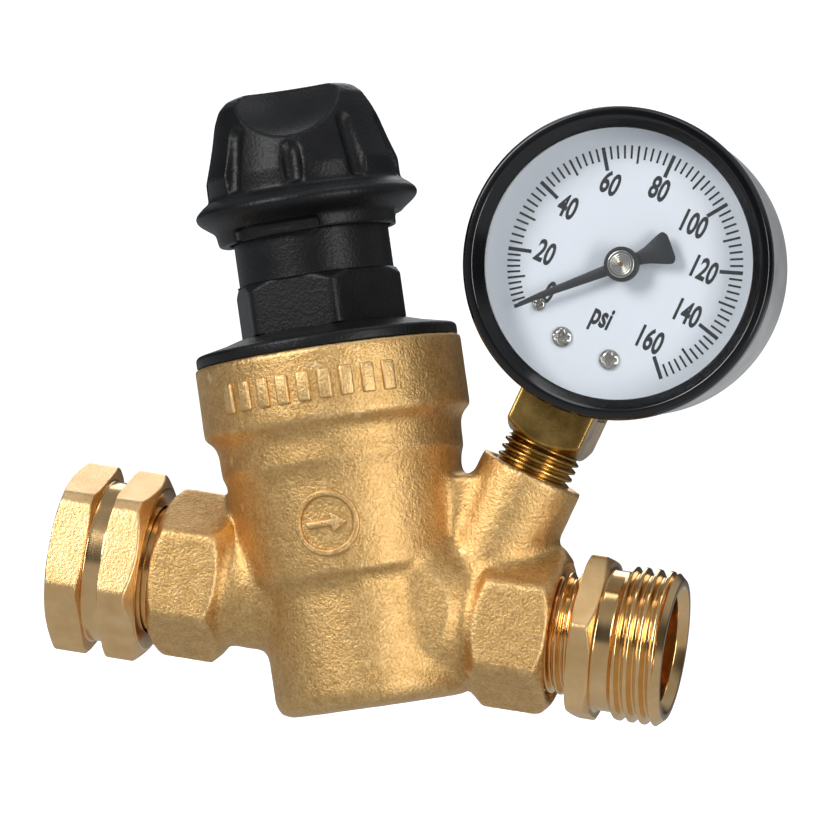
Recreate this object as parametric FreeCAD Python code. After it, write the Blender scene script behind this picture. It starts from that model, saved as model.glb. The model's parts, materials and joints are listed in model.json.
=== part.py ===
import FreeCAD, Part
import math
import os

from FreeCAD import Matrix, Placement, Rotation, Vector

# An adjustable pressure reducing valve for a garden-hose line, in millimetres.
# +X runs along the flow from the inlet to the outlet, +Z is up and -Y is the front.
# The origin is the centre of the swivel nut's mouth.
# Pieces on the slanted barrel are drawn in the barrel's frame, with z along the barrel from the flow axis.
# Pieces of the gauge are drawn in the gauge's frame: u right, v along the stem, w towards the front.
# Pieces on the flow axis are drawn with z along the flow, from the mouth of the swivel nut.

# ---- where the axes are ----
CROSSING_X = 53.6        # barrel axis meets the flow axis, from the nut's mouth
BARREL_TILT = 17.0       # degrees, from +Z towards the inlet
PORT_TILT = 17.0         # degrees, from +Z towards the outlet
PORT_X = 26.4            # centre of the gauge port's face, from the crossing
PORT_Z = 26.8

# ---- gaps ----
RUNNING_GAP = 0.06       # radial, a shaft in its hole
LOOSE_GAP = 0.3          # between pieces that pass each other
OPEN_PIVOT_GAP = 0.45    # radial, round the pin where the gauge's linkage is opened
WALL_OVERLAP = 1.0       # how far a cutting tool runs past what it cuts

# ---- body casting: barrel ----
BARREL_BOTTOM = -18.4
BARREL_R = 17.6
BARREL_CORNER = 2.6
SHOULDER_Z = 4.2
SHOULDER_R = 19.3
BAND_Z = 23.0
BAND_LOW_R = 20.5
BAND_R = 21.3
BAND_TOP_Z = 30.0
CUP_Z = 31.5
CUP_R = 23.4
BARREL_TOP = 44.0
CUP_BORE_R = 20.0
DIAPHRAGM_LEDGE_Z = 31.0
CHAMBER_R = 15.5         # space under the diaphragm
CHAMBER_FLOOR_Z = 18.0
CARTRIDGE_R = 9.8        # bore for the balance sleeve and the inlet space
WEB_TOP_Z = -1.5         # the wall that carries the seat ring
WEB_BOTTOM_Z = -4.4
SEAT_HOLE_R = 8.5
LOWER_CHAMBER_R = 11.8
LOWER_CHAMBER_Z = -14.2

# ---- body casting: bosses ----
BOSS_AF = 26.0
BOSS_TURNED_R = 14.8
BOSS_END_R = 12.7
BOSS_BEVEL = 1.6
NECK_R = 11.2
INLET_BOSS = (17.6, 30.1)     # along the flow, from the nut's mouth
OUTLET_BOSS = (CROSSING_X + 22.0, CROSSING_X + 35.5)
SOCKET_R = 10.4               # bore of both bosses, at the pipe thread
SOCKET_DEPTH = 9.5
PASSAGE_R = 6.5
INLET_PASSAGE_R = 4.8
OUTLET_PASSAGE_R = 5.0
PORT_BOSS_R = 9.25
PORT_BORE_R = 6.4
PORT_DEPTH = 8.5
GAUGE_PASSAGE_R = 2.2
WEB_HALF_THICK = 6.5
BLEND_HALF_WIDTH = 13.5

# ---- raised marks on the casting ----
MARK_RELIEF = 0.6
RING_Z = 13.7
RING_OUTER_R = 5.6
RING_WIDTH = 0.9
BAR_COUNT = 9
BAR_WIDTH = 2.4
BAR_HEIGHT = 5.2
BAR_BOTTOM_Z = 34.8
BAR_SPREAD = 74.0        # degrees from the first bar to the last

# ---- seat, stem and diaphragm, along the barrel ----
STEM_R = 3.0
STEM_END_R = 2.5
STEM_TRAVEL = 1.5
SEAT_BORE_R = 5.0
SEAT_LIP_Z = -4.0
SHUT_GAP = 0.1           # left between the disc and the seat when shut
PISTON_R = 5.3
PISTON_Z = (10.5, 15.5)
SLEEVE_Z = 9.0
O_RING_R = 0.85
SLEEVE_RING_R = 0.75
DISC_R = 6.9
HOLDER_R = 7.6
WASHER_R = 9.5
DIAPHRAGM_THICK = 1.6
DIAPHRAGM_HUB_Z = 29.2
PLATE_R = 12.5
PLATE_THICK = 2.0
SLIP_RING_Z = 32.6
SMALL_NUT_AF = 8.0

# ---- bonnet ----
BONNET_FLANGE_R = 23.0
BONNET_SKIRT_Z = 33.5
BONNET_HEX_AF = 27.1
BONNET_HEX_R = 15.4
BONNET_HEX_Z = (48.0, 57.0)
BONNET_HEX_TURN = 292.0  # degrees, direction of one corner
BONNET_BORE_R = 11.0
NECK_TOP_Z = 66.0
BONNET_NECK_R = 13.6
KEY_R = 12.2
KEY_WIDTH = 4.0
TOP_PLATE_Z = 62.3
SPINDLE_R = 4.0

# ---- spring, spring nut and spindle ----
SPRING_MEAN_R = 8.2
SPRING_WIRE_R = 1.25
SPRING_TURNS = 5.0
SPRING_NUT_Z = 51.5
SPRING_NUT_THICK = 4.0
COLLAR_R = 6.5
COLLAR_THICK = 1.8
SPINDLE_BOTTOM_Z = 42.0
DRIVE_AF = 7.0
SPINDLE_TOP_Z = 83.5

# ---- knob ----
KNOB_BOTTOM_Z = 64.5
KNOB_SKIRT_R = 16.2
KNOB_RIM_R = 19.6
KNOB_TOP_Z = 90.1
SCOOP_COUNT = 3
SCOOP_R = 20.0
SCOOP_CENTRE = (23.2, 99.6)
SCOOP_TURN = 277.0
GROOVE_COUNT = 9
GROOVE_R = 1.9
GROOVE_SHORT_TOP = 79.0
GROOVE_LONG_TOP = 83.0
TAB_WIDTH = 60.0

# ---- inlet: swivel nut, tailpiece, washer and screen ----
HOSE_PITCH = 2.209       # 11.5 threads per inch
HOSE_MINOR_R = 12.25
HOSE_ROOT_R = 13.5
NUT_LENGTH = 16.3
NUT_AF = 30.0
NUT_CORNER_AF = 33.4
NUT_FLAT_TURN = 260.6    # degrees, direction of one flat about the flow axis
NUT_GROOVE = (6.4, 9.7)
NUT_GROOVE_R = 14.1
NUT_RECESS_Z = 6.5
NUT_RECESS_R = 12.9
NUT_LIP_Z = 12.4
NUT_LIP_R = 11.25
TAIL_FLANGE_R = 12.0
TAIL_FLANGE = (10.1, 12.1)
TAIL_NECK_R = 10.95
TAIL_BORE_R = 7.6
WASHER_THICK = 3.0
HOSE_WASHER_R = 12.45

# ---- outlet nipple ----
NIPPLE_THREAD_R = 10.67
PIPE_PITCH = 1.814       # 14 threads per inch
NIPPLE_HEX = (OUTLET_BOSS[1] + 4.0, OUTLET_BOSS[1] + 8.0)
NIPPLE_HEX_AF = 27.2
NIPPLE_HEX_TURN = 22.5
NIPPLE_PLAIN_R = 12.3
NIPPLE_PLAIN_END = OUTLET_BOSS[1] + 11.1
MALE_HOSE_R = 13.495
MALE_ROOT_R = 12.2
NIPPLE_END = OUTLET_BOSS[1] + 20.3
NIPPLE_BORE_R = 9.8
NIPPLE_BORE_Z = OUTLET_BOSS[1] + 8.5
NIPPLE_SMALL_BORE_R = 7.9

# ---- gauge ----
GAUGE_CENTRE_V = 39.5
GAUGE_THREAD_R = 6.85
GAUGE_PITCH = 1.411      # 18 threads per inch
SHANK_WIDTH = 14.0
SHANK_V = 5.2
BLOCK_BACK = -5.5
BLOCK_FRONT = 3.0
BLOCK_TOP = -14.2        # below the dial's centre
CASE_R = 25.6
CASE_WALL = 0.9
CASE_BACK = -15.5
CASE_FRONT = 10.8
BEZEL_R = CASE_R + 1.4
BEZEL_BACK = 9.8
BEZEL_FRONT = 13.2
BEZEL_OPENING_R = CASE_R - 2.2
WINDOW_R = CASE_R - 1.0
WINDOW_W = (9.4, 10.8)
DIAL_R = CASE_R - 2.8
DIAL_W = (4.1, 4.6)
DIAL_SCREW = (4.6, -15.9)
DIAL_SCREW_R = 1.8
STOP_SCREW = (-11.0, -12.3)
STOP_SCREW_R = 1.2
POINTER_TURN = 225.5
POINTER_TIP = 19.5
POINTER_TAIL = 9.2
POINTER_TAIL_HALF = 3.0
POINTER_NECK_HALF = 1.1
POINTER_BLADE_HALF = 0.95
POINTER_W = (6.6, 7.0)
HUB_R = 3.05
CAP_R = 2.4

# ---- gauge movement ----
TOOTH_MODULE = 0.25
PINION_TEETH = 10
SECTOR_TEETH = 80        # on a full circle
SECTOR_SWING = 33.75     # degrees
PRESSURE_ANGLE = 25.0
BACKLASH = 0.05
ARBOR_R = 0.8
PLATE_HALF_WIDTH = 7.0
FRONT_PLATE = (3.0, 4.0)
REAR_PLATE = (-5.5, -4.5)
SECTOR_W = (-1.0, 0.2)
LINK_W = (-2.2, -1.4)
LINK_PIN_R = 0.6
LINK_HALF_WIDTH = 0.55
LINK_EYE_WALL = 0.5
TAIL_LENGTH = 7.5
TAIL_TURN = -10.0
TIP_PIN = (10.5, -4.5)   # from the dial's centre
TIP_TRAVEL = (1.0, 3.6)
TUBE_R = 17.0
TUBE_HALF = (1.1, 3.2)   # half the tube's section, radially and in depth
TUBE_WALL = 0.35
TUBE_FOOT = 248.0
TUBE_TIP = -18.0
PILLARS = ((-5.5, 3.5), (5.5, 3.5), (-5.5, -11.6))
PILLAR_R = 1.1
PILLAR_SCREW_R = 0.6
PILLAR_SCREW_LENGTH = 3.0
PILLAR_HEAD = 0.7
HAIRSPRING_TURNS = 4


def frame(x_axis, y_axis, z_axis, origin):
    """A placement whose own axes and origin lie on the ones given."""
    m = Matrix(x_axis.x, y_axis.x, z_axis.x, origin.x,
               x_axis.y, y_axis.y, z_axis.y, origin.y,
               x_axis.z, y_axis.z, z_axis.z, origin.z,
               0, 0, 0, 1)
    return Placement(m)


def leaning(tilt):
    """The two directions of a frame that leans by tilt degrees from +Z: across it and along it."""
    a = math.radians(tilt)
    return Vector(math.cos(a), 0, -math.sin(a)), Vector(math.sin(a), 0, math.cos(a))


BARREL_ACROSS, BARREL_ALONG = leaning(-BARREL_TILT)
STEM_ACROSS, STEM_ALONG = leaning(PORT_TILT)
CROSSING = Vector(CROSSING_X, 0, 0)
PORT_FACE = Vector(CROSSING_X + PORT_X, 0, PORT_Z)

FLOW = frame(Vector(0, 0, -1), Vector(0, 1, 0), Vector(1, 0, 0), Vector(0, 0, 0))
BARREL = frame(BARREL_ACROSS, Vector(0, 1, 0), BARREL_ALONG, CROSSING)
PORT = frame(STEM_ACROSS, Vector(0, 1, 0), STEM_ALONG, PORT_FACE)
STEM_FRAME = frame(STEM_ACROSS, STEM_ALONG, Vector(0, -1, 0), PORT_FACE)
DIAL = frame(STEM_ACROSS, STEM_ALONG, Vector(0, -1, 0), PORT_FACE + STEM_ALONG * GAUGE_CENTRE_V)


def placed(shape, where):
    """A copy of shape in the frame where."""
    out = shape.copy()
    out.Placement = where.multiply(out.Placement)
    return out


def write(name, shape):
    """Write one sub-part's STEP file."""
    os.makedirs("parts", exist_ok=True)
    if not shape.isValid():
        raise ValueError(name + " is not a valid solid")
    shape.exportStep("parts/" + name + ".step")


def lathe(points):
    """A solid turned about z from a closed outline of (radius, z) points."""
    corners = [Vector(r, 0, z) for r, z in points]
    outline = Part.makePolygon(corners + corners[:1])
    return Part.Face(outline).revolve(Vector(0, 0, 0), Vector(0, 0, 1), 360)


def rod(radius, low, high):
    """A cylinder on the z axis."""
    return Part.makeCylinder(radius, high - low, Vector(0, 0, low))


def tube(outer, inner, low, high):
    """A ring on the z axis."""
    return rod(outer, low, high).cut(rod(inner, low - WALL_OVERLAP, high + WALL_OVERLAP))


def prism(points, low, high):
    """An upright prism over a closed outline of (x, y) points."""
    corners = [Vector(x, y, low) for x, y in points]
    outline = Part.makePolygon(corners + corners[:1])
    return Part.Face(outline).extrude(Vector(0, 0, high - low))


def polar(radius, degrees):
    """The (x, y) point at a radius and an angle."""
    a = math.radians(degrees)
    return radius * math.cos(a), radius * math.sin(a)


def hexagon(across_flats, low, high, corner_turn=0.0):
    """A hexagonal prism, with one corner in the direction corner_turn."""
    radius = across_flats / math.sqrt(3)
    return prism([polar(radius, corner_turn + 60 * i) for i in range(6)], low, high)


def spun(shape, degrees):
    """A copy turned about z."""
    out = shape.copy()
    out.rotate(Vector(0, 0, 0), Vector(0, 0, 1), degrees)
    return out


def between(start, end, radius):
    """A cylinder from one point to another."""
    axis = end - start
    return Part.makeCylinder(radius, axis.Length, start, axis)


def box(x_range, y_range, z_range):
    """A box from three (low, high) ranges."""
    corner = Vector(x_range[0], y_range[0], z_range[0])
    return Part.makeBox(x_range[1] - x_range[0], y_range[1] - y_range[0], z_range[1] - z_range[0], corner)


def thread_grooves(crest_r, root_r, pitch, first, count, crest_share=0.2, root_share=0.15):
    """Parallel grooves that cut a thread's form, the first one centred at first, inside or outside."""
    past = WALL_OVERLAP if crest_r > root_r else -WALL_OVERLAP
    half_mouth = pitch * (1 - crest_share) / 2
    half_root = pitch * root_share / 2
    cut = None
    for i in range(count):
        z = first + i * pitch
        ring = lathe([(root_r, z - half_root), (crest_r, z - half_mouth), (crest_r + past, z - half_mouth),
                      (crest_r + past, z + half_mouth), (crest_r, z + half_mouth), (root_r, z + half_root)])
        cut = ring if cut is None else cut.fuse(ring)
    return cut


# ------------------------------------------------------------------ the casting

def boss(ends):
    """A cast hexagonal boss on the flow axis, its corners turned off."""
    low, high = ends
    turned = lathe([(0, low), (BOSS_END_R, low), (BOSS_TURNED_R, low + BOSS_BEVEL),
                    (BOSS_TURNED_R, high - BOSS_BEVEL), (BOSS_END_R, high), (0, high)])
    return hexagon(BOSS_AF, low, high).common(turned)


def barrel_outside():
    """The slanted barrel, with its shoulder, band and cup."""
    return lathe([(0, BARREL_BOTTOM), (BARREL_R - BARREL_CORNER, BARREL_BOTTOM),
                  (BARREL_R - 0.3 * BARREL_CORNER, BARREL_BOTTOM + 0.3 * BARREL_CORNER),
                  (BARREL_R, BARREL_BOTTOM + BARREL_CORNER), (BARREL_R, SHOULDER_Z),
                  (SHOULDER_R, SHOULDER_Z + 0.8), (BAND_LOW_R, BAND_Z), (BAND_R, BAND_Z + 1.5),
                  (BAND_R, BAND_TOP_Z), (CUP_R, CUP_Z), (CUP_R, BARREL_TOP), (0, BARREL_TOP)])


def outlet_blend():
    """The casting's swell from the barrel's foot to the outlet boss."""
    x = CROSSING_X
    end = OUTLET_BOSS[0] + BOSS_BEVEL
    swell = lathe([(0, x), (BARREL_R - 1.0, x), (BARREL_R - 1.4, x + 10), (BARREL_R - 2.8, x + 15),
                   (BARREL_R - 4.1, x + 18), (NECK_R + 0.8, x + 20.2), (NECK_R + 0.8, end), (0, end)])
    slab = box((-BARREL_R, BARREL_R), (-BLEND_HALF_WIDTH, BLEND_HALF_WIDTH), (x, end))
    return swell.common(slab)


def port_web():
    """The thick web between the barrel and the gauge port, drawn in the plane of the flow and the barrel."""
    x = CROSSING_X
    outline = [(x + 6, -4), (x + PORT_X - 5, 0), (x + PORT_X - 3, PORT_Z - 7),
               (x + PORT_X - 8.5, PORT_Z - 2.0), (x + PORT_X - 12, PORT_Z - 2.6), (x + 4, PORT_Z - 8)]
    corners = [Vector(px, -WEB_HALF_THICK, pz) for px, pz in outline]
    face = Part.Face(Part.makePolygon(corners + corners[:1]))
    return face.extrude(Vector(0, 2 * WEB_HALF_THICK, 0))


def flow_mark():
    """The raised ring on the barrel's front, with a plain flow arrow in it."""
    surface = BAND_LOW_R + MARK_RELIEF
    base = SHOULDER_R - 2.0
    half = RING_OUTER_R - RING_WIDTH - 0.9
    ring = tube(RING_OUTER_R, RING_OUTER_R - RING_WIDTH, base, surface)
    arrow = prism([(-half, -0.7), (0.4, -0.7), (0.4, -2.2), (half, 0), (0.4, 2.2), (0.4, 0.7), (-half, 0.7)],
                  base, surface)
    mark = ring.fuse(arrow)
    mark.Placement = Placement(Vector(0, 0, RING_Z), Rotation(Vector(1, 0, 0), 90))
    skin = lathe([(0, SHOULDER_Z + 0.8), (SHOULDER_R + MARK_RELIEF, SHOULDER_Z + 0.8),
                  (BAND_LOW_R + MARK_RELIEF, BAND_Z), (0, BAND_Z)])
    return mark.common(skin)


def band_bars():
    """The row of plain raised bars round the front of the cup."""
    bars = None
    skin = rod(CUP_R + MARK_RELIEF, BAR_BOTTOM_Z - WALL_OVERLAP, BAR_BOTTOM_Z + BAR_HEIGHT + WALL_OVERLAP)
    for i in range(BAR_COUNT):
        bar = box((CUP_R - 1.5, CUP_R + 2.0), (-BAR_WIDTH / 2, BAR_WIDTH / 2),
                  (BAR_BOTTOM_Z, BAR_BOTTOM_Z + BAR_HEIGHT))
        turn = -90 - BAR_SPREAD / 2 + i * BAR_SPREAD / (BAR_COUNT - 1)
        bar = spun(bar, turn).common(skin)
        bars = bar if bars is None else bars.fuse(bar)
    return bars


def barrel_point(across, along):
    """A point in the plane of the flow, given in the barrel's frame."""
    return CROSSING + BARREL_ACROSS * across + BARREL_ALONG * along


def valve_body():
    outside = placed(barrel_outside(), BARREL)
    outside = outside.fuse(placed(boss(INLET_BOSS), FLOW))
    outside = outside.fuse(placed(boss(OUTLET_BOSS), FLOW))
    outside = outside.fuse(placed(rod(NECK_R, INLET_BOSS[1] - BOSS_BEVEL, CROSSING_X), FLOW))
    outside = outside.fuse(placed(outlet_blend(), FLOW))
    outside = outside.fuse(port_web())
    reach = PORT_Z / math.cos(math.radians(PORT_TILT))
    outside = outside.fuse(placed(rod(PORT_BOSS_R, -reach, 0), PORT))
    outside = outside.fuse(placed(flow_mark(), BARREL))
    outside = outside.fuse(placed(band_bars(), BARREL))

    core = rod(CUP_BORE_R, DIAPHRAGM_LEDGE_Z, BARREL_TOP + WALL_OVERLAP)
    core = core.fuse(rod(CHAMBER_R, CHAMBER_FLOOR_Z, DIAPHRAGM_LEDGE_Z))
    core = core.fuse(rod(CARTRIDGE_R, WEB_TOP_Z, CHAMBER_FLOOR_Z))
    core = core.fuse(rod(SEAT_HOLE_R, WEB_BOTTOM_Z, WEB_TOP_Z))
    core = core.fuse(rod(LOWER_CHAMBER_R, LOWER_CHAMBER_Z, WEB_BOTTOM_Z))
    hollow = placed(core, BARREL)

    low, high = INLET_BOSS[0], OUTLET_BOSS[1]
    inlet = lathe([(0, low - WALL_OVERLAP), (SOCKET_R, low - WALL_OVERLAP), (SOCKET_R, low + SOCKET_DEPTH),
                   (PASSAGE_R, low + SOCKET_DEPTH), (PASSAGE_R, low + SOCKET_DEPTH + 6),
                   (INLET_PASSAGE_R, low + SOCKET_DEPTH + 8),
                    (INLET_PASSAGE_R, CROSSING_X - CARTRIDGE_R + 0.8),
                   (0, CROSSING_X - CARTRIDGE_R + 0.8)])
    outlet = lathe([(0, high - SOCKET_DEPTH - 3), (PASSAGE_R, high - SOCKET_DEPTH - 3),
                    (PASSAGE_R, high - SOCKET_DEPTH), (SOCKET_R, high - SOCKET_DEPTH), (SOCKET_R, high - 1.5),
                    (SOCKET_R + 1.5, high), (SOCKET_R + 1.5, high + WALL_OVERLAP), (0, high + WALL_OVERLAP)])
    hollow = hollow.fuse(placed(inlet.fuse(outlet), FLOW))
    slanted_start = barrel_point(4.0, LOWER_CHAMBER_Z + OUTLET_PASSAGE_R - 0.1)
    slanted_end = Vector(high - SOCKET_DEPTH - 1.5, 0, 0.6)
    hollow = hollow.fuse(between(slanted_start, slanted_end, OUTLET_PASSAGE_R))
    gauge_bore = rod(PORT_BORE_R, -PORT_DEPTH, WALL_OVERLAP)
    gauge_bore = gauge_bore.fuse(lathe([(0, -1.0), (PORT_BORE_R, -1.0), (PORT_BORE_R + 1.0, 0),
                                        (PORT_BORE_R + 1.0, WALL_OVERLAP), (0, WALL_OVERLAP)]))
    gauge_bore = gauge_bore.fuse(rod(GAUGE_PASSAGE_R, -reach, -PORT_DEPTH))
    hollow = hollow.fuse(placed(gauge_bore, PORT))
    write("valve_body", outside.cut(hollow))


# ------------------------------------------------------------------ seat, stem and diaphragm

def seat_and_sleeve():
    """The seat ring in the body's web, and the balance sleeve that guides the stem, with its o-ring."""
    flange_r = CARTRIDGE_R - 0.1
    ring = lathe([(SEAT_BORE_R, SEAT_LIP_Z), (SEAT_BORE_R + 1.0, SEAT_LIP_Z),
                  (SEAT_BORE_R + 1.3, SEAT_LIP_Z + 0.6),
                  (SEAT_HOLE_R, SEAT_LIP_Z + 0.6), (SEAT_HOLE_R, WEB_TOP_Z), (flange_r, WEB_TOP_Z),
                  (flange_r, WEB_TOP_Z + 1.2), (SEAT_BORE_R, WEB_TOP_Z + 1.2)])
    write("seat_ring", placed(ring, BARREL))

    sleeve = tube(CARTRIDGE_R, PISTON_R + RUNNING_GAP, SLEEVE_Z, CHAMBER_FLOOR_Z)
    groove_z = (SLEEVE_Z + CHAMBER_FLOOR_Z) / 2
    groove = tube(CARTRIDGE_R + WALL_OVERLAP, CARTRIDGE_R - 2 * SLEEVE_RING_R,
                  groove_z - SLEEVE_RING_R, groove_z + SLEEVE_RING_R)
    write("balance_sleeve", placed(sleeve.cut(groove), BARREL))
    seal = Part.makeTorus(CARTRIDGE_R - SLEEVE_RING_R, SLEEVE_RING_R, Vector(0, 0, groove_z))
    write("sleeve_o_ring", placed(seal, BARREL))


def stem():
    """The hollow stem with its balance piston."""
    disc_top = SEAT_LIP_Z - STEM_TRAVEL - SHUT_GAP
    top = stem_top()
    body = rod(STEM_END_R, disc_top - 7.0, disc_top)
    body = body.fuse(rod(STEM_R, disc_top, shoulder_z()))
    body = body.fuse(rod(PISTON_R, PISTON_Z[0], PISTON_Z[1]))
    body = body.fuse(rod(STEM_END_R, shoulder_z(), top))
    middle = sum(PISTON_Z) / 2
    groove = tube(PISTON_R + WALL_OVERLAP, PISTON_R - 2 * O_RING_R, middle - O_RING_R, middle + O_RING_R)
    body = body.cut(groove)
    body = body.cut(rod(1.3, disc_top - 7.0 - WALL_OVERLAP, shoulder_z() - 6.0))
    cross = between(Vector(-STEM_R - WALL_OVERLAP, 0, shoulder_z() - 7.0),
                    Vector(STEM_R + WALL_OVERLAP, 0, shoulder_z() - 7.0), 1.0)
    write("stem", placed(body.cut(cross), BARREL))
    seal = Part.makeTorus(PISTON_R - O_RING_R, O_RING_R, Vector(0, 0, middle))
    write("balance_o_ring", placed(seal, BARREL))


def shoulder_z():
    """Where the stem steps down to carry the diaphragm."""
    return DIAPHRAGM_HUB_Z - 1.2


def stem_top():
    return DIAPHRAGM_HUB_Z + DIAPHRAGM_THICK + PLATE_THICK + 4.7


def disc_and_holder():
    """The rubber disc that closes on the seat, its cup and its nut, drawn open."""
    top = SEAT_LIP_Z - STEM_TRAVEL - SHUT_GAP
    write("seat_disc", placed(tube(DISC_R, STEM_END_R, top - 2.4, top), BARREL))
    holder = lathe([(STEM_END_R, top - 4.4), (HOLDER_R, top - 4.4), (HOLDER_R, top - 0.4),
                    (DISC_R, top - 0.4),
                    (DISC_R, top - 2.4), (STEM_END_R, top - 2.4)])
    write("disc_holder", placed(holder, BARREL))
    nut = hexagon(SMALL_NUT_AF, top - 7.2, top - 4.4).cut(rod(STEM_END_R, top - 8.0, top))
    write("disc_nut", placed(nut, BARREL))


def diaphragm_group():
    """The diaphragm with the washer under it, the spring plate over it, the stem nut and the slip ring."""
    hub = DIAPHRAGM_HUB_Z
    hub_top = hub + DIAPHRAGM_THICK
    ledge = DIAPHRAGM_LEDGE_Z
    write("diaphragm_washer", placed(tube(WASHER_R, STEM_END_R, shoulder_z(), hub), BARREL))
    rim_r = CUP_BORE_R - 0.1
    rubber = lathe([(STEM_END_R, hub), (WASHER_R + 0.9, hub), (CHAMBER_R - 3.7, hub - 2.0),
                    (CHAMBER_R - 1.3, hub - 2.0), (CHAMBER_R - 0.3, ledge), (rim_r, ledge),
                    (rim_r, ledge + DIAPHRAGM_THICK), (CHAMBER_R - 0.6, ledge + DIAPHRAGM_THICK),
                    (CHAMBER_R - 2.1, hub - 0.4), (CHAMBER_R - 3.1, hub - 0.4), (CHAMBER_R - 4.2, hub_top),
                    (STEM_END_R, hub_top)])
    write("diaphragm", placed(rubber, BARREL))
    lip = hub_top + PLATE_THICK
    plate = lathe([(STEM_END_R, hub_top), (PLATE_R, hub_top), (PLATE_R, lip + 1.2),
                   (PLATE_R - 1.4, lip + 1.2),
                   (PLATE_R - 1.4, lip), (STEM_END_R, lip)])
    write("diaphragm_plate", placed(plate, BARREL))
    nut = hexagon(SMALL_NUT_AF, lip, lip + 3.5).cut(rod(STEM_END_R, lip - WALL_OVERLAP, lip + 5.0))
    write("stem_nut", placed(nut, BARREL))
    slip = tube(rim_r, CHAMBER_R + 0.5, SLIP_RING_Z, BONNET_SKIRT_Z)
    write("slip_ring", placed(slip, BARREL))


# ------------------------------------------------------------------ bonnet, spring and knob

def bonnet():
    """The moulded bonnet: threaded skirt, flange, cone, hexagon and neck, with keyways inside."""
    top = BARREL_TOP
    outer = lathe([(0, BONNET_SKIRT_Z), (CUP_BORE_R, BONNET_SKIRT_Z), (CUP_BORE_R, top),
                   (BONNET_FLANGE_R, top),
                   (BONNET_FLANGE_R, top + 1.2), (BONNET_FLANGE_R - 0.7, top + 2.0), (18.0, top + 3.3),
                   (BONNET_NECK_R + 1.4, top + 4.3), (BONNET_NECK_R, top + 4.5), (BONNET_NECK_R, NECK_TOP_Z),
                   (0, NECK_TOP_Z)])
    low, high = BONNET_HEX_Z
    turned = lathe([(0, low), (BONNET_HEX_R, low), (BONNET_HEX_R, high - 0.7), (BONNET_HEX_R - 1.2, high),
                    (0, high)])
    outer = outer.fuse(hexagon(BONNET_HEX_AF, low, high, BONNET_HEX_TURN).common(turned))
    room_r = CUP_BORE_R - 3.0
    inner = lathe([(0, BONNET_SKIRT_Z - WALL_OVERLAP), (room_r, BONNET_SKIRT_Z - WALL_OVERLAP),
                   (room_r, BONNET_SKIRT_Z + 6.5), (BONNET_BORE_R, BONNET_SKIRT_Z + 9.5),
                   (BONNET_BORE_R, TOP_PLATE_Z), (0, TOP_PLATE_Z)])
    inner = inner.fuse(rod(SPINDLE_R + RUNNING_GAP, TOP_PLATE_Z - WALL_OVERLAP, NECK_TOP_Z + WALL_OVERLAP))
    key = box((-KEY_R, KEY_R), (-KEY_WIDTH / 2, KEY_WIDTH / 2), (BONNET_SKIRT_Z + 8.0, TOP_PLATE_Z))
    write("bonnet", placed(outer.cut(inner).cut(key), BARREL))


def spring_nut():
    """The keyed nut that the spindle drives up and down on the spring."""
    low, high = SPRING_NUT_Z, SPRING_NUT_Z + SPRING_NUT_THICK
    nut = rod(BONNET_BORE_R - LOOSE_GAP, low, high)
    reach, half = KEY_R - LOOSE_GAP, KEY_WIDTH / 2 - 0.2
    ears = box((-reach, reach), (-half, half), (low, high))
    spigot = rod(SPRING_MEAN_R - SPRING_WIRE_R - LOOSE_GAP, low - 2.0, low)
    nut = nut.fuse(ears).fuse(spigot).cut(rod(SPINDLE_R + RUNNING_GAP, low - 3.0, high + WALL_OVERLAP))
    write("spring_nut", placed(nut, BARREL))


def main_spring():
    """The compression spring between the diaphragm plate and the spring nut, its ends ground flat."""
    low = DIAPHRAGM_HUB_Z + DIAPHRAGM_THICK + PLATE_THICK
    high = SPRING_NUT_Z
    length = high - low
    pitch = (length - 2 * SPRING_WIRE_R) / SPRING_TURNS
    helix = Part.makeHelix(pitch, length, SPRING_MEAN_R)
    path = Part.Wire(helix.Edges)
    circle = Part.Circle(Vector(SPRING_MEAN_R, 0, 0), Vector(0, 1, 0), SPRING_WIRE_R)
    coil = path.makePipeShell([Part.Wire(circle.toShape())], True, True)
    coil.translate(Vector(0, 0, low))
    ground = tube(SPRING_MEAN_R + 2 * SPRING_WIRE_R, SPRING_MEAN_R - 2 * SPRING_WIRE_R, low, high)
    write("main_spring", placed(coil.common(ground), BARREL))


def spindle():
    """The adjusting spindle: screw, thrust collar, journal and the hexagon that drives it."""
    screw = rod(SPINDLE_R, SPINDLE_BOTTOM_Z, NECK_TOP_Z + 0.4)
    collar = rod(COLLAR_R, TOP_PLATE_Z - 0.1 - COLLAR_THICK, TOP_PLATE_Z - 0.1)
    drive = hexagon(DRIVE_AF, NECK_TOP_Z + 0.4, SPINDLE_TOP_Z)
    tapped = rod(2.0, SPINDLE_TOP_Z - 8.0, SPINDLE_TOP_Z + WALL_OVERLAP)
    shape = screw.fuse(collar).fuse(drive).cut(tapped)
    write("adjusting_spindle", placed(shape, BARREL))


def knob_outside():
    """The knob's turned outline, before its scoops and grooves."""
    z = KNOB_BOTTOM_Z
    rim = KNOB_RIM_R
    return lathe([(0, z), (KNOB_SKIRT_R - 0.3, z), (KNOB_SKIRT_R, z + 0.3), (KNOB_SKIRT_R + 0.3, z + 2.5),
                  (rim - 0.9, z + 4.1), (rim - 0.2, z + 4.8), (rim, z + 5.5), (rim - 0.3, z + 6.2),
                  (rim - 1.4, z + 7.2), (rim - 2.6, z + 8.0), (rim - 2.6, z + 11.5), (rim - 3.9, z + 15.5),
                  (rim - 5.6, z + 21.5), (rim - 6.4, z + 23.6), (rim - 7.8, z + 25.0),
                  (rim - 9.6, KNOB_TOP_Z),
                  (0, KNOB_TOP_Z)])


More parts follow.
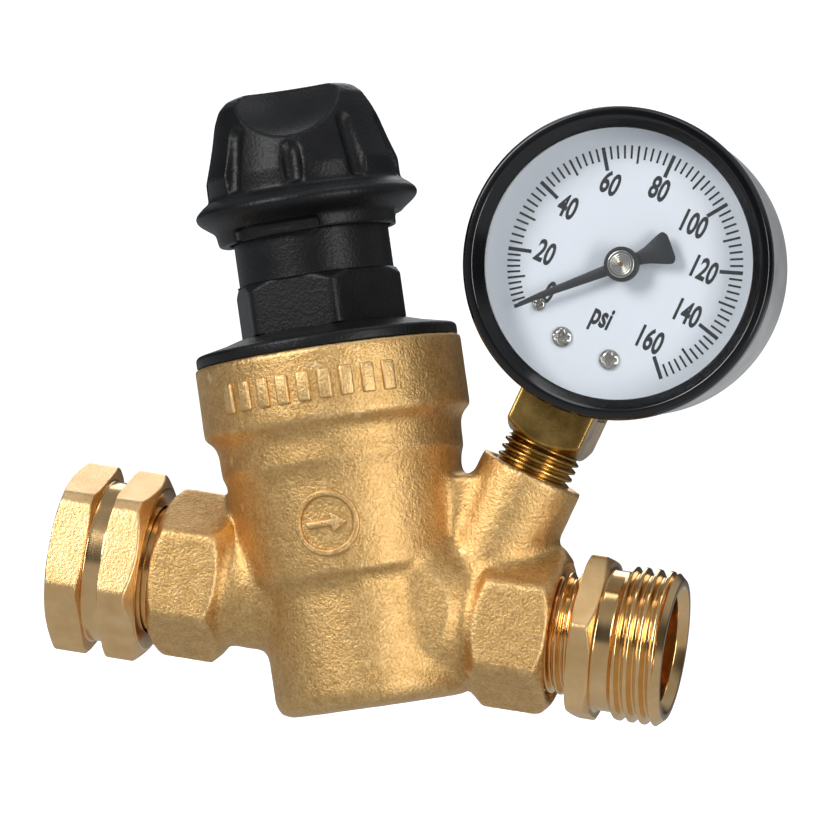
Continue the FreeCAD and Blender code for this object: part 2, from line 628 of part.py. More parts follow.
def knob():
    shape = knob_outside()
    for i in range(SCOOP_COUNT):
        across, up = SCOOP_CENTRE
        x, y = polar(across, SCOOP_TURN + 360 / SCOOP_COUNT * i)
        shape = shape.cut(Part.makeSphere(SCOOP_R, Vector(x, y, up)))
    per_scoop = GROOVE_COUNT // SCOOP_COUNT
    lean_r = KNOB_RIM_R - 2.6 + GROOVE_R * 0.45
    for i in range(GROOVE_COUNT):
        top = GROOVE_SHORT_TOP if i % per_scoop == 0 else GROOVE_LONG_TOP
        lean = lean_r - (top - KNOB_BOTTOM_Z - 11.5) * 0.3
        groove = between(Vector(lean_r, 0, KNOB_BOTTOM_Z + 8.6), Vector(lean, 0, top), GROOVE_R)
        groove = groove.fuse(Part.makeSphere(GROOVE_R, Vector(lean, 0, top)))
        shape = shape.cut(spun(groove, SCOOP_TURN + 360 / GROOVE_COUNT * i))
    mouth_r = BONNET_NECK_R + 0.7
    gap = 360 / SCOOP_COUNT - TAB_WIDTH
    for i in range(SCOOP_COUNT):
        start = SCOOP_TURN - 48 + 360 / SCOOP_COUNT * i
        wedge = prism([(0, 0), polar(2 * KNOB_RIM_R, start), polar(2 * KNOB_RIM_R, start + gap)],
                      KNOB_BOTTOM_Z - WALL_OVERLAP, KNOB_BOTTOM_Z + 2.2)
        shape = shape.cut(wedge.common(tube(KNOB_RIM_R, mouth_r + 0.8, KNOB_BOTTOM_Z - WALL_OVERLAP,
                                            KNOB_BOTTOM_Z + 2.2)))
    shape = shape.cut(rod(mouth_r, KNOB_BOTTOM_Z - WALL_OVERLAP, NECK_TOP_Z + 1.2))
    hub_r = 6.5
    shape = shape.cut(tube(11.0, hub_r, NECK_TOP_Z + 1.2 - 0.01, 79.0))
    shape = shape.cut(hexagon(DRIVE_AF, NECK_TOP_Z, SPINDLE_TOP_Z))
    shape = shape.cut(rod(2.0, SPINDLE_TOP_Z - WALL_OVERLAP, KNOB_TOP_Z))
    shape = shape.cut(rod(4.2, SPINDLE_TOP_Z + 0.6, KNOB_TOP_Z + WALL_OVERLAP))
    write("adjusting_knob", placed(shape, BARREL))

    seat = SPINDLE_TOP_Z + 0.6
    screw = lathe([(0, seat - 7.0), (2.0, seat - 7.0), (2.0, seat), (3.8, seat), (3.8, seat + 1.4),
                   (2.6, seat + 2.4), (0, seat + 2.6)])
    for turn in (0, 90):
        screw = screw.cut(spun(box((-1.9, 1.9), (-0.35, 0.35), (seat + 1.2, seat + 3.0)), turn))
    write("knob_screw", placed(screw, BARREL))


# ------------------------------------------------------------------ inlet and outlet

def swivel_nut():
    """The inlet nut: two hexagonal bands with a turned groove between them and a hose thread inside."""
    corner = NUT_CORNER_AF / math.sqrt(3) + 0.1
    g0, g1 = NUT_GROOVE
    end = NUT_LENGTH
    turned = lathe([(0, 0), (14.7, 0), (corner, 1.3), (corner, g0 - 0.9), (16.2, g0), (NUT_GROOVE_R, g0),
                    (NUT_GROOVE_R, g1), (16.2, g1), (corner, g1 + 0.9),
                    (corner, end - 3.2), (14.2, end), (0, end)])
    flats = hexagon(NUT_AF, 0, end, NUT_FLAT_TURN + 30)
    corners = hexagon(NUT_CORNER_AF, 0, end, NUT_FLAT_TURN)
    bore = lathe([(0, -WALL_OVERLAP), (HOSE_MINOR_R + 0.4, -WALL_OVERLAP), (HOSE_MINOR_R + 0.4, 0),
                  (HOSE_MINOR_R, 0.4), (HOSE_MINOR_R, NUT_RECESS_Z), (NUT_RECESS_R, NUT_RECESS_Z),
                  (NUT_RECESS_R, NUT_LIP_Z), (NUT_LIP_R, NUT_LIP_Z), (NUT_LIP_R, end + WALL_OVERLAP),
                  (0, end + WALL_OVERLAP)])
    thread = thread_grooves(HOSE_MINOR_R, HOSE_ROOT_R, HOSE_PITCH, 1.75, 2, root_share=0.1)
    nut = turned.common(flats).common(corners).cut(bore).cut(thread)
    write("swivel_nut", placed(nut, FLOW))


def tailpiece():
    """The tailpiece that the nut turns on, with the hose washer and the filter screen in front of it."""
    low, high = TAIL_FLANGE
    face = INLET_BOSS[0]
    spigot_end = face + SOCKET_DEPTH - 0.5
    shape = lathe([(TAIL_BORE_R, low), (TAIL_FLANGE_R, low), (TAIL_FLANGE_R, high), (TAIL_NECK_R, high),
                   (TAIL_NECK_R, face), (SOCKET_R, face), (SOCKET_R, spigot_end), (TAIL_BORE_R, spigot_end)])
    write("inlet_tailpiece", placed(shape, FLOW))

    washer_low = low - WASHER_THICK
    rim = TAIL_BORE_R + 1.2
    slot = low - 1.9
    washer = tube(HOSE_WASHER_R, TAIL_BORE_R, washer_low, low)
    washer = washer.cut(rod(rim, slot, slot + 0.5))
    write("hose_washer", placed(washer, FLOW))
    screen = lathe([(0, slot + 7.5), (0, slot + 7.1), (3.6, slot + 6.6), (TAIL_BORE_R - 0.6, slot),
                    (rim, slot),
                    (rim, slot + 0.5), (TAIL_BORE_R - 0.2, slot + 0.5), (4.0, slot + 7.0)])
    write("filter_screen", placed(screen, FLOW))


def outlet_nipple():
    """The outlet nipple: pipe thread, hexagon, plain collar and the male hose thread."""
    face = OUTLET_BOSS[1]
    low, high = NIPPLE_HEX
    spigot = face - SOCKET_DEPTH + 0.5
    body = lathe([(0, spigot), (SOCKET_R, spigot), (SOCKET_R, face - 1.5), (NIPPLE_THREAD_R, face - 1.2),
                  (NIPPLE_THREAD_R, low), (NIPPLE_PLAIN_R, low), (NIPPLE_PLAIN_R, NIPPLE_PLAIN_END),
                  (MALE_HOSE_R, NIPPLE_PLAIN_END + 0.8), (MALE_HOSE_R, NIPPLE_END - 1.3),
                  (MALE_ROOT_R, NIPPLE_END), (0, NIPPLE_END)])
    turned = lathe([(0, low), (14.6, low), (15.6, low + 0.6), (15.6, high - 1.0), (14.0, high), (0, high)])
    body = body.fuse(hexagon(NIPPLE_HEX_AF, low, high, NIPPLE_HEX_TURN).common(turned))
    body = body.cut(thread_grooves(NIPPLE_THREAD_R, NIPPLE_THREAD_R - 1.2, PIPE_PITCH, face + 0.35, 2))
    body = body.cut(thread_grooves(MALE_HOSE_R, MALE_ROOT_R, HOSE_PITCH, NIPPLE_PLAIN_END + 2.25, 3))
    bore = lathe([(0, spigot - WALL_OVERLAP), (NIPPLE_SMALL_BORE_R, spigot - WALL_OVERLAP),
                  (NIPPLE_SMALL_BORE_R, NIPPLE_BORE_Z - 1.9), (NIPPLE_BORE_R, NIPPLE_BORE_Z),
                  (NIPPLE_BORE_R, NIPPLE_END - 1.7), (NIPPLE_BORE_R + 1.4, NIPPLE_END),
                  (NIPPLE_BORE_R + 1.4, NIPPLE_END + WALL_OVERLAP), (0, NIPPLE_END + WALL_OVERLAP)])
    write("outlet_nipple", placed(body.cut(bore), FLOW))


# ------------------------------------------------------------------ gauge: socket, case, bezel and dial

def gauge_socket():
    """The gauge's stem: pipe thread, square shank, and the block inside the case that holds the tube."""
    top = GAUGE_CENTRE_V + BLOCK_TOP
    half = SHANK_WIDTH / 2
    stem_part = lathe([(0, -PORT_DEPTH + 0.5), (PORT_BORE_R, -PORT_DEPTH + 0.5), (PORT_BORE_R, -0.5),
                       (GAUGE_THREAD_R, -0.3), (GAUGE_THREAD_R, SHANK_V), (0, SHANK_V)])
    stem_part = stem_part.cut(thread_grooves(GAUGE_THREAD_R, GAUGE_THREAD_R - 0.9, GAUGE_PITCH, 0.5, 3))
    stem_part = placed(stem_part, frame(Vector(1, 0, 0), Vector(0, 0, -1), Vector(0, 1, 0), Vector(0, 0, 0)))
    shank = box((-half, half), (SHANK_V, GAUGE_CENTRE_V - CASE_R + 3), (-half, half))
    turned = lathe([(0, SHANK_V), (half - 0.2, SHANK_V), (half * math.sqrt(2) + 0.1, SHANK_V + 2.0),
                    (half * math.sqrt(2) + 0.1, GAUGE_CENTRE_V), (0, GAUGE_CENTRE_V)])
    turned = placed(turned, frame(Vector(1, 0, 0), Vector(0, 0, -1), Vector(0, 1, 0), Vector(0, 0, 0)))
    outside_case = Part.makeCylinder(CASE_R, 4 * half, Vector(0, GAUGE_CENTRE_V, -2 * half))
    shank = shank.common(turned).cut(outside_case)
    block = box((-half, half), (GAUGE_CENTRE_V - CASE_R - 1.5, top), (BLOCK_BACK, BLOCK_FRONT))
    shape = stem_part.fuse(shank).fuse(block)
    bore = between(Vector(0, -PORT_DEPTH, 0), Vector(0, top - 5.0, 0), 1.2)
    side = between(Vector(0, top - 5.5, -2.0), Vector(-half + 2.0, top - 5.5, -2.0), 1.0)
    shape = shape.cut(bore).cut(side)
    foot = placed(tube_solid(), Placement(Vector(0, GAUGE_CENTRE_V, 0), Rotation()))
    shape = shape.cut(foot)
    for sign in (-1, 1):
        x, y = DIAL_SCREW
        hole = Part.makeCylinder(0.9, 6.0, Vector(sign * x, GAUGE_CENTRE_V + y, BLOCK_FRONT - 5.0))
        shape = shape.cut(hole)
    write("gauge_socket", placed(shape, STEM_FRAME))


def flat_section(radius, half_radial, half_depth, centre_w):
    """A rounded flat section standing at a radius on the u axis, as a face."""
    steps = 16
    corners = []
    for i in range(steps):
        a = 2 * math.pi * i / steps
        power = 0.6
        c, s = math.cos(a), math.sin(a)
        u = radius + half_radial * math.copysign(abs(c) ** power, c)
        w = centre_w + half_depth * math.copysign(abs(s) ** power, s)
        corners.append(Vector(u, 0, w))
    return Part.Face(Part.makePolygon(corners + corners[:1]))


def tube_centre_w():
    return (BLOCK_BACK + BLOCK_FRONT) / 2 - 0.6


def tube_solid(shrink=0.0):
    """The Bourdon tube's outer solid, or its inside when shrunk by a wall, about the dial's centre."""
    face = flat_section(TUBE_R, TUBE_HALF[0] - shrink, TUBE_HALF[1] - shrink, tube_centre_w())
    solid = face.revolve(Vector(0, 0, 0), Vector(0, 0, 1), TUBE_FOOT - TUBE_TIP)
    return spun(solid, TUBE_TIP)


def bourdon_tube():
    """The tube, open into the block at its foot, and the tip piece that closes it with the link's pin."""
    write("bourdon_tube", placed(tube_solid().cut(tube_solid(TUBE_WALL)), DIAL))
    back = LINK_W[0] - 0.2
    low = back - 1.2
    half = TUBE_HALF[0] + 0.3
    centre_w = tube_centre_w()
    tip = box((TUBE_R - half, TUBE_R + half), (-2.4, 0), (centre_w - TUBE_HALF[1], centre_w + TUBE_HALF[1]))
    tip = spun(tip, TUBE_TIP)
    x, y = TIP_PIN
    end = polar(TUBE_R - half + 0.5, TUBE_TIP - 5.0)
    arm = strip((x, y), end, 1.3, low, back)
    pin = Part.makeCylinder(LINK_PIN_R, LINK_W[1] + 0.3 - low, Vector(x, y, low))
    shape = tip.fuse(arm).fuse(pin)
    write("tube_tip", placed(shape, DIAL))


def strip(start, end, half_width, low, high):
    """A flat bar with round ends, from one (u, v) point to another."""
    a = Vector(start[0], start[1], low)
    b = Vector(end[0], end[1], low)
    along = (b - a).normalize()
    side = Vector(-along.y, along.x, 0) * half_width
    corners = [a + side, b + side, b - side, a - side]
    bar = Part.Face(Part.makePolygon(corners + corners[:1])).extrude(Vector(0, 0, high - low))
    bar = bar.fuse(Part.makeCylinder(half_width, high - low, a))
    return bar.fuse(Part.makeCylinder(half_width, high - low, b))


def gauge_case():
    """The pressed case, with an inward lip for the window and a slot for the socket."""
    inner = CASE_R - CASE_WALL
    corner = 2.2
    back = CASE_BACK
    front = CASE_FRONT
    lip = WINDOW_W[0] - 0.2
    shell = lathe([(0, back), (CASE_R - corner, back), (CASE_R - 0.3 * corner, back + 0.3 * corner),
                   (CASE_R, back + corner), (CASE_R, front), (inner, front), (inner, lip),
                   (BEZEL_OPENING_R + 0.2, lip),
                   (BEZEL_OPENING_R + 0.2, lip - 0.7), (inner, lip - 0.7), (inner, back + corner),
                   (CASE_R - corner, back + CASE_WALL), (0, back + CASE_WALL)])
    half = SHANK_WIDTH / 2
    slot = box((-half, half), (-CASE_R - 3, -CASE_R + 4), (BLOCK_BACK, BLOCK_FRONT))
    write("gauge_case", placed(shell.cut(slot), DIAL))


def bezel_and_window():
    low, high = BEZEL_BACK, BEZEL_FRONT
    ring = lathe([(CASE_R, low), (BEZEL_R, low), (BEZEL_R, high - 0.7), (BEZEL_R - 0.2, high - 0.2),
                  (BEZEL_R - 0.7, high), (BEZEL_R - 1.6, high), (BEZEL_OPENING_R, WINDOW_W[1] + 0.35),
                  (BEZEL_OPENING_R, WINDOW_W[1]), (CASE_R, WINDOW_W[1])])
    write("gauge_bezel", placed(ring, DIAL))
    write("gauge_window", placed(rod(WINDOW_R, WINDOW_W[0], WINDOW_W[1]), DIAL))
    gasket = tube(WINDOW_R, BEZEL_OPENING_R + 0.4, WINDOW_W[0] - 0.2, WINDOW_W[0])
    write("window_gasket", placed(gasket, DIAL))


def cross_slot(x, y, reach, low, high):
    """The cross of a screw's drive, as a cutting tool."""
    thin = reach / 4
    flat = box((x - reach, x + reach), (y - thin, y + thin), (low, high))
    return flat.fuse(box((x - thin, x + thin), (y - reach, y + reach), (low, high)))


def dial_and_screws():
    low, high = DIAL_W
    x, y = DIAL_SCREW
    dial = rod(DIAL_R, low, high).cut(rod(2.0, low - WALL_OVERLAP, high + WALL_OVERLAP))
    for sign in (-1, 1):
        dial = dial.cut(Part.makeCylinder(0.95, 3.0, Vector(sign * x, y, low - 1.0)))
    dial = dial.cut(Part.makeCylinder(0.6, 3.0, Vector(STOP_SCREW[0], STOP_SCREW[1], low - 1.0)))
    write("gauge_dial", placed(dial, DIAL))

    screws = []
    for sign in (-1, 1):
        shank = Part.makeCylinder(0.9, high - BLOCK_FRONT + 4.5, Vector(sign * x, y, BLOCK_FRONT - 4.5))
        head = Part.makeCylinder(DIAL_SCREW_R, 0.9, Vector(sign * x, y, high))
        screws.append(shank.fuse(head).cut(cross_slot(sign * x, y, 1.1, high + 0.4, high + 2.0)))
    write("dial_screws", placed(Part.makeCompound(screws), DIAL))

    x, y = STOP_SCREW
    stop = Part.makeCylinder(0.6, high - low + 0.1, Vector(x, y, low - 0.1))
    stop = stop.fuse(Part.makeCylinder(STOP_SCREW_R, 0.9, Vector(x, y, high)))
    write("stop_screw", placed(stop.cut(cross_slot(x, y, 0.7, high + 0.5, high + 2.0)), DIAL))


# ------------------------------------------------------------------ gauge: movement

def pointer_and_hub():
    low, high = POINTER_W
    tail, wide = POINTER_TAIL, POINTER_TAIL_HALF
    upper = [(POINTER_TIP, 0.16), (16.0, 0.55), (HUB_R, POINTER_BLADE_HALF), (-HUB_R, POINTER_NECK_HALF),
             (-tail + 4.2, 1.5), (-tail + 2.0, wide - 0.4), (-tail + 1.1, wide), (-tail + 0.2, wide - 0.5),
             (-tail, wide - 1.5)]
    lower = [(x, -y) for x, y in reversed(upper)]
    blade = prism(upper + lower, low, high).fuse(rod(HUB_R - 0.4, low, high))
    blade = spun(blade, POINTER_TURN).cut(rod(ARBOR_R, low - WALL_OVERLAP, high + WALL_OVERLAP))
    write("pointer", placed(blade, DIAL))
    hub = lathe([(ARBOR_R, high), (HUB_R, high), (HUB_R, high + 1.0), (HUB_R - 0.4, high + 1.4),
                 (CAP_R, high + 1.4), (CAP_R, high + 0.8), (ARBOR_R, high + 0.8)])
    write("pointer_hub", placed(hub, DIAL))
    cap = lathe([(ARBOR_R, high + 0.8), (CAP_R, high + 0.8), (CAP_R, high + 1.6), (CAP_R - 0.3, high + 1.9),
                 (ARBOR_R, high + 1.9)])
    write("pointer_cap", placed(cap, DIAL))


def tooth_profile(teeth, thinning):
    """Half the angle of an involute tooth at each radius, as (radius, half angle) pairs, root to tip."""
    pitch_r = TOOTH_MODULE * teeth / 2
    pressure = math.radians(PRESSURE_ANGLE)
    base_r = pitch_r * math.cos(pressure)
    root_r = pitch_r - 0.9 * TOOTH_MODULE
    tip_r = pitch_r + 0.6 * TOOTH_MODULE
    half_at_pitch = math.pi / (2 * teeth) - thinning / (2 * pitch_r)
    involute_pitch = math.tan(pressure) - pressure
    pairs = []
    steps = 4
    start = max(base_r, root_r)
    if start > root_r:
        pairs.append((root_r, half_at_pitch + involute_pitch))
    for i in range(steps + 1):
        r = start + (tip_r - start) * i / steps
        angle = math.acos(min(1.0, base_r / r))
        pairs.append((r, half_at_pitch + involute_pitch - (math.tan(angle) - angle)))
    return pairs


def gear_outline(teeth, first, last, thinning, start_angle):
    """The outline of the teeth numbered first to last; tooth 0 is centred at start_angle."""
    pairs = tooth_profile(teeth, thinning)
    points = []
    for i in range(first, last + 1):
        centre = math.radians(start_angle) + 2 * math.pi * i / teeth
        for r, half in pairs:
            points.append((r * math.cos(centre - half), r * math.sin(centre - half)))
        for r, half in reversed(pairs):
            points.append((r * math.cos(centre + half), r * math.sin(centre + half)))
    return points


def sector_pivot():
    """The sector's pivot, below the pinion by the two pitch radii."""
    return 0.0, -TOOTH_MODULE * (PINION_TEETH + SECTOR_TEETH) / 2


def tail_pin():
    """Where the link's pin stands on the sector's tail."""
    px, py = sector_pivot()
    x, y = polar(TAIL_LENGTH, TAIL_TURN)
    return px + x, py + y


def pinion_shaft():
    """The pointer's arbor, with its pinion and the collet for the hairspring."""
    shaft = rod(ARBOR_R, REAR_PLATE[0], POINTER_W[1] + 1.6)
    outline = gear_outline(PINION_TEETH, 0, PINION_TEETH - 1, BACKLASH, -90.0)
    teeth = prism(outline, SECTOR_W[0] - 0.6, SECTOR_W[1] + 0.6)
    collet = rod(1.2, 1.2, 2.4)
    write("pinion_shaft", placed(shaft.fuse(teeth).fuse(collet), DIAL))


def hairspring():
    """The flat spiral spring round the collet."""
    strip_half = 0.08
    start = 1.2 + strip_half
    pitch = 0.75
    steps = 24 * HAIRSPRING_TURNS
    inner = []
    outer = []
    for i in range(steps + 1):
        turn = 2 * math.pi * i / 24
        r = start + pitch * turn / (2 * math.pi)
        inner.append(((r - strip_half) * math.cos(turn), (r - strip_half) * math.sin(turn)))
        outer.append(((r + strip_half) * math.cos(turn), (r + strip_half) * math.sin(turn)))
    write("hairspring", placed(prism(outer + inner[::-1], 1.4, 2.2), DIAL))


def sector_gear():
    """The toothed sector on its own arbor, with the tail that the link pulls."""
    low, high = SECTOR_W
    pitch_angle = 360 / SECTOR_TEETH
    first = -10
    last = 2
    rim = gear_outline(SECTOR_TEETH, first, last, BACKLASH, 90.0 - pitch_angle / 2)
    inner_r = 7.6
    start = 90.0 - pitch_angle / 2 + first * pitch_angle
    end = 90.0 - pitch_angle / 2 + last * pitch_angle
    arc = [polar(inner_r, end + (start - end) * i / 8) for i in range(9)]
    sector = prism(rim + arc, low, high)
    for turn in (start + 4, end - 4):
        sector = sector.fuse(strip((0, 0), polar(inner_r + 0.6, turn), 0.9, low, high))
    sector = sector.fuse(strip((0, 0), polar(TAIL_LENGTH, TAIL_TURN), 1.1, low, high))
    x, y = polar(TAIL_LENGTH, TAIL_TURN)
    pin = Part.makeCylinder(LINK_PIN_R, high - LINK_W[0] + 0.3, Vector(x, y, LINK_W[0] - 0.3))
    arbor = rod(ARBOR_R, REAR_PLATE[0], FRONT_PLATE[1]).fuse(rod(1.5, low - 0.6, high + 0.6))
    shape = sector.fuse(pin).fuse(arbor)
    px, py = sector_pivot()
    shape.translate(Vector(px, py, 0))
    write("sector_gear", placed(shape, DIAL))


def link():
    """The link between the sector's tail and the tube's tip, loose on the tip's pin."""
    low, high = LINK_W
    ends = ((tail_pin(), LINK_PIN_R + RUNNING_GAP), (TIP_PIN, LINK_PIN_R + OPEN_PIVOT_GAP))
    bar = strip(tail_pin(), TIP_PIN, LINK_HALF_WIDTH, low, high)
    for (x, y), hole_r in ends:
        bar = bar.fuse(Part.makeCylinder(hole_r + LINK_EYE_WALL, high - low, Vector(x, y, low)))
    for (x, y), hole_r in ends:
        drill = Part.makeCylinder(hole_r, high - low + 2 * WALL_OVERLAP, Vector(x, y, low - WALL_OVERLAP))
        bar = bar.cut(drill)
    write("link", placed(bar, DIAL))


def movement_plates():
    px, py = sector_pivot()
    half = PLATE_HALF_WIDTH
    dial_x, dial_y = DIAL_SCREW
    pieces = {"front_plate": (FRONT_PLATE, BLOCK_TOP - 3.6), "rear_plate": (REAR_PLATE, BLOCK_TOP + 0.4)}
    for name, (depth, bottom) in pieces.items():
        low, high = depth
        plate = box((-half, half), (bottom, 5.2), depth)
        for x, y in ((0, 0), (px, py)):
            plate = plate.cut(Part.makeCylinder(ARBOR_R + RUNNING_GAP, 3.0, Vector(x, y, low - 1.0)))
        for x, y in PILLARS:
            plate = plate.cut(Part.makeCylinder(0.6, 3.0, Vector(x, y, low - 1.0)))
        if bottom < BLOCK_TOP:
            for sign in (-1, 1):
                plate = plate.cut(Part.makeCylinder(0.95, 3.0, Vector(sign * dial_x, dial_y, low - 1.0)))
        write("movement_" + name, placed(plate, DIAL))
    pillars = []
    screws = []
    for x, y in PILLARS:
        pillar = Part.makeCylinder(PILLAR_R, FRONT_PLATE[0] - REAR_PLATE[1], Vector(x, y, REAR_PLATE[1]))
        stud = rod(PILLAR_SCREW_R, FRONT_PLATE[0], FRONT_PLATE[1])
        stud.translate(Vector(x, y, 0))
        tapped = Part.makeCylinder(PILLAR_SCREW_R, PILLAR_SCREW_LENGTH, Vector(x, y, REAR_PLATE[1]))
        pillars.append(pillar.cut(tapped).fuse(stud))
        head_top = REAR_PLATE[0] - PILLAR_HEAD
        shank = Part.makeCylinder(PILLAR_SCREW_R, PILLAR_SCREW_LENGTH, Vector(x, y, REAR_PLATE[0]))
        head = Part.makeCylinder(2 * PILLAR_SCREW_R, PILLAR_HEAD, Vector(x, y, head_top))
        half_slot = PILLAR_R + 0.2
        slot = box((x - half_slot, x + half_slot), (y - 0.15, y + 0.15), (head_top - 0.3, head_top + 0.3))
        screws.append(shank.fuse(head).cut(slot))
    write("movement_pillars", placed(Part.makeCompound(pillars), DIAL))
    write("movement_screws", placed(Part.makeCompound(screws), DIAL))


for build in (valve_body, seat_and_sleeve, stem, disc_and_holder, diaphragm_group, bonnet, spring_nut,
              main_spring, spindle, knob, swivel_nut, tailpiece, outlet_nipple, gauge_socket, bourdon_tube, gauge_case,
              bezel_and_window, dial_and_screws, pointer_and_hub, pinion_shaft, hairspring, sector_gear, link,
              movement_plates):
    build()
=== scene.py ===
"""Looks for an adjustable brass pressure reducing valve with a dial gauge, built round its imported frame.

The frame is in metres, and each sub-assembly below is drawn in millimetres in a place of its own:
the flow axis, the slanted barrel, the gauge port and the dial. Pieces that the frame already shapes
well keep their mesh and only get a finish. The others are modelled again here and stand for them.
"""

import json
import logging
import math
from dataclasses import dataclass, field
from enum import Enum
from typing import Callable, Iterable, NamedTuple, Sequence

import bmesh
import bpy
import numpy as np
from mathutils import Matrix, Vector, noise


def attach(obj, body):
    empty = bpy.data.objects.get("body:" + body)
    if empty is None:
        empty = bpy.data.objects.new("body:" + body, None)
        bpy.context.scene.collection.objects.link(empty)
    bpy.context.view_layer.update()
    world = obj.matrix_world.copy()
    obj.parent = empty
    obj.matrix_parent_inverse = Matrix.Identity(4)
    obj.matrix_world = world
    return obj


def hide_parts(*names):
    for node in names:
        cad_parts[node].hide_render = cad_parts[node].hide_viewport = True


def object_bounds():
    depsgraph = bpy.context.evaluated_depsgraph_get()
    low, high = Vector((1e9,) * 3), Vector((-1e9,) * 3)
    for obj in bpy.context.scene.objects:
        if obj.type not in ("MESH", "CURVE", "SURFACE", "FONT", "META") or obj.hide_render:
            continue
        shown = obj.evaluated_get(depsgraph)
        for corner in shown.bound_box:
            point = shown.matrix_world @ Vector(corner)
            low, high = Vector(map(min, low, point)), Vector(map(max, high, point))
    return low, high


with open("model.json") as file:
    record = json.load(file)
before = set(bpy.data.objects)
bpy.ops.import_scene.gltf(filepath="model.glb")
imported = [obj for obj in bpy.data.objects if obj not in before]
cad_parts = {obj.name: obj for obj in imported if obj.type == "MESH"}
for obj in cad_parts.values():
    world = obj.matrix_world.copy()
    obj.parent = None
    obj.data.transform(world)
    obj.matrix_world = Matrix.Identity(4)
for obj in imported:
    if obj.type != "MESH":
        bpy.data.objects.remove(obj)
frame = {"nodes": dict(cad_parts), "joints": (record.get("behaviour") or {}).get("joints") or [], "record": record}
CAD_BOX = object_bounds()

log = logging.getLogger("valve")

MM = 0.001
TURN = 2 * math.pi


# ---------------------------------------------------------------- places


@dataclass(frozen=True)
class Place:
    """A frame to draw in: its origin in metres and its three directions in the row frame."""

    origin: Vector
    x: Vector
    y: Vector
    z: Vector

    def turn(self) -> Matrix:
        """The rotation from this place to the row frame."""
        return Matrix((self.x, self.y, self.z)).transposed()

    def matrix(self) -> Matrix:
        """The matrix from this place, in millimetres, to the row frame, in metres."""
        return Matrix.Translation(self.origin) @ self.turn().to_4x4() @ Matrix.Scale(MM, 4)

    def moved(self, along_z: float) -> "Place":
        """The same directions, with the origin moved along z by a distance in millimetres."""
        return Place(self.origin + self.z * along_z * MM, self.x, self.y, self.z)


class Layout:
    """Where the valve's own axes lie, read from the joints of the frame."""

    GAUGE_CENTRE = 39.5  # from the face of the gauge port to the dial's centre, along the gauge's stem

    def __init__(self, joints: Sequence[dict]) -> None:
        """Read the axes.

        Args:
            joints: the frame's joints.
        """
        by_name = {joint["name"]: joint for joint in joints}
        side = Vector((0, 1, 0))
        flow = Vector(by_name["swivel_nut_turn"]["axis"])
        barrel = Vector(by_name["knob_turn"]["axis"]).normalized()
        stem = Vector((-barrel.x, 0, barrel.z))
        dial_centre = Vector(by_name["pointer_turn"]["pos_m"])
        across = side.cross(stem)
        self.flow = Place(Vector((0, 0, 0)), side.cross(flow), side, flow)
        self.barrel = Place(Vector(by_name["knob_turn"]["pos_m"]), side.cross(barrel), side, barrel)
        self.port = Place(dial_centre - stem * self.GAUGE_CENTRE * MM, across, side, stem)
        self.dial = Place(dial_centre, across, stem, -side)


LAYOUT = Layout(frame["joints"])


# ---------------------------------------------------------------- finishes


def linear(colour: str) -> tuple[float, float, float, float]:
    """Turn an sRGB hex colour into linear light.

    Args:
        colour: six hex digits after a #.

    Returns:
        Linear red, green and blue, and an alpha of 1.
    """
    parts = [int(colour[i:i + 2], 16) / 255 for i in (1, 3, 5)]
    red, green, blue = [c / 12.92 if c <= 0.04045 else ((c + 0.055) / 1.055) ** 2.4 for c in parts]
    return red, green, blue, 1.0


def add_node(tree: bpy.types.NodeTree, kind: str, settings: dict | None = None,
             links: dict | None = None) -> bpy.types.Node:
    """Add a node with its settings and links.

    Args:
        tree: the node tree that the node goes in.
        kind: the node's type.
        settings: values by property name, or by input name or number.
        links: output sockets by the name or number of the input that they feed.

    Returns:
        The new node.
    """
    node = tree.nodes.new(kind)
    for key, value in (settings or {}).items():
        if isinstance(key, str) and hasattr(node, key):
            setattr(node, key, value)
        else:
            node.inputs[key].default_value = value
    for key, socket in (links or {}).items():
        tree.links.new(socket, node.inputs[key])
    return node


def per_metre(size_mm: float) -> float:
    """A texture's scale for a pattern whose features are size_mm apart."""
    return 1 / (size_mm * MM)


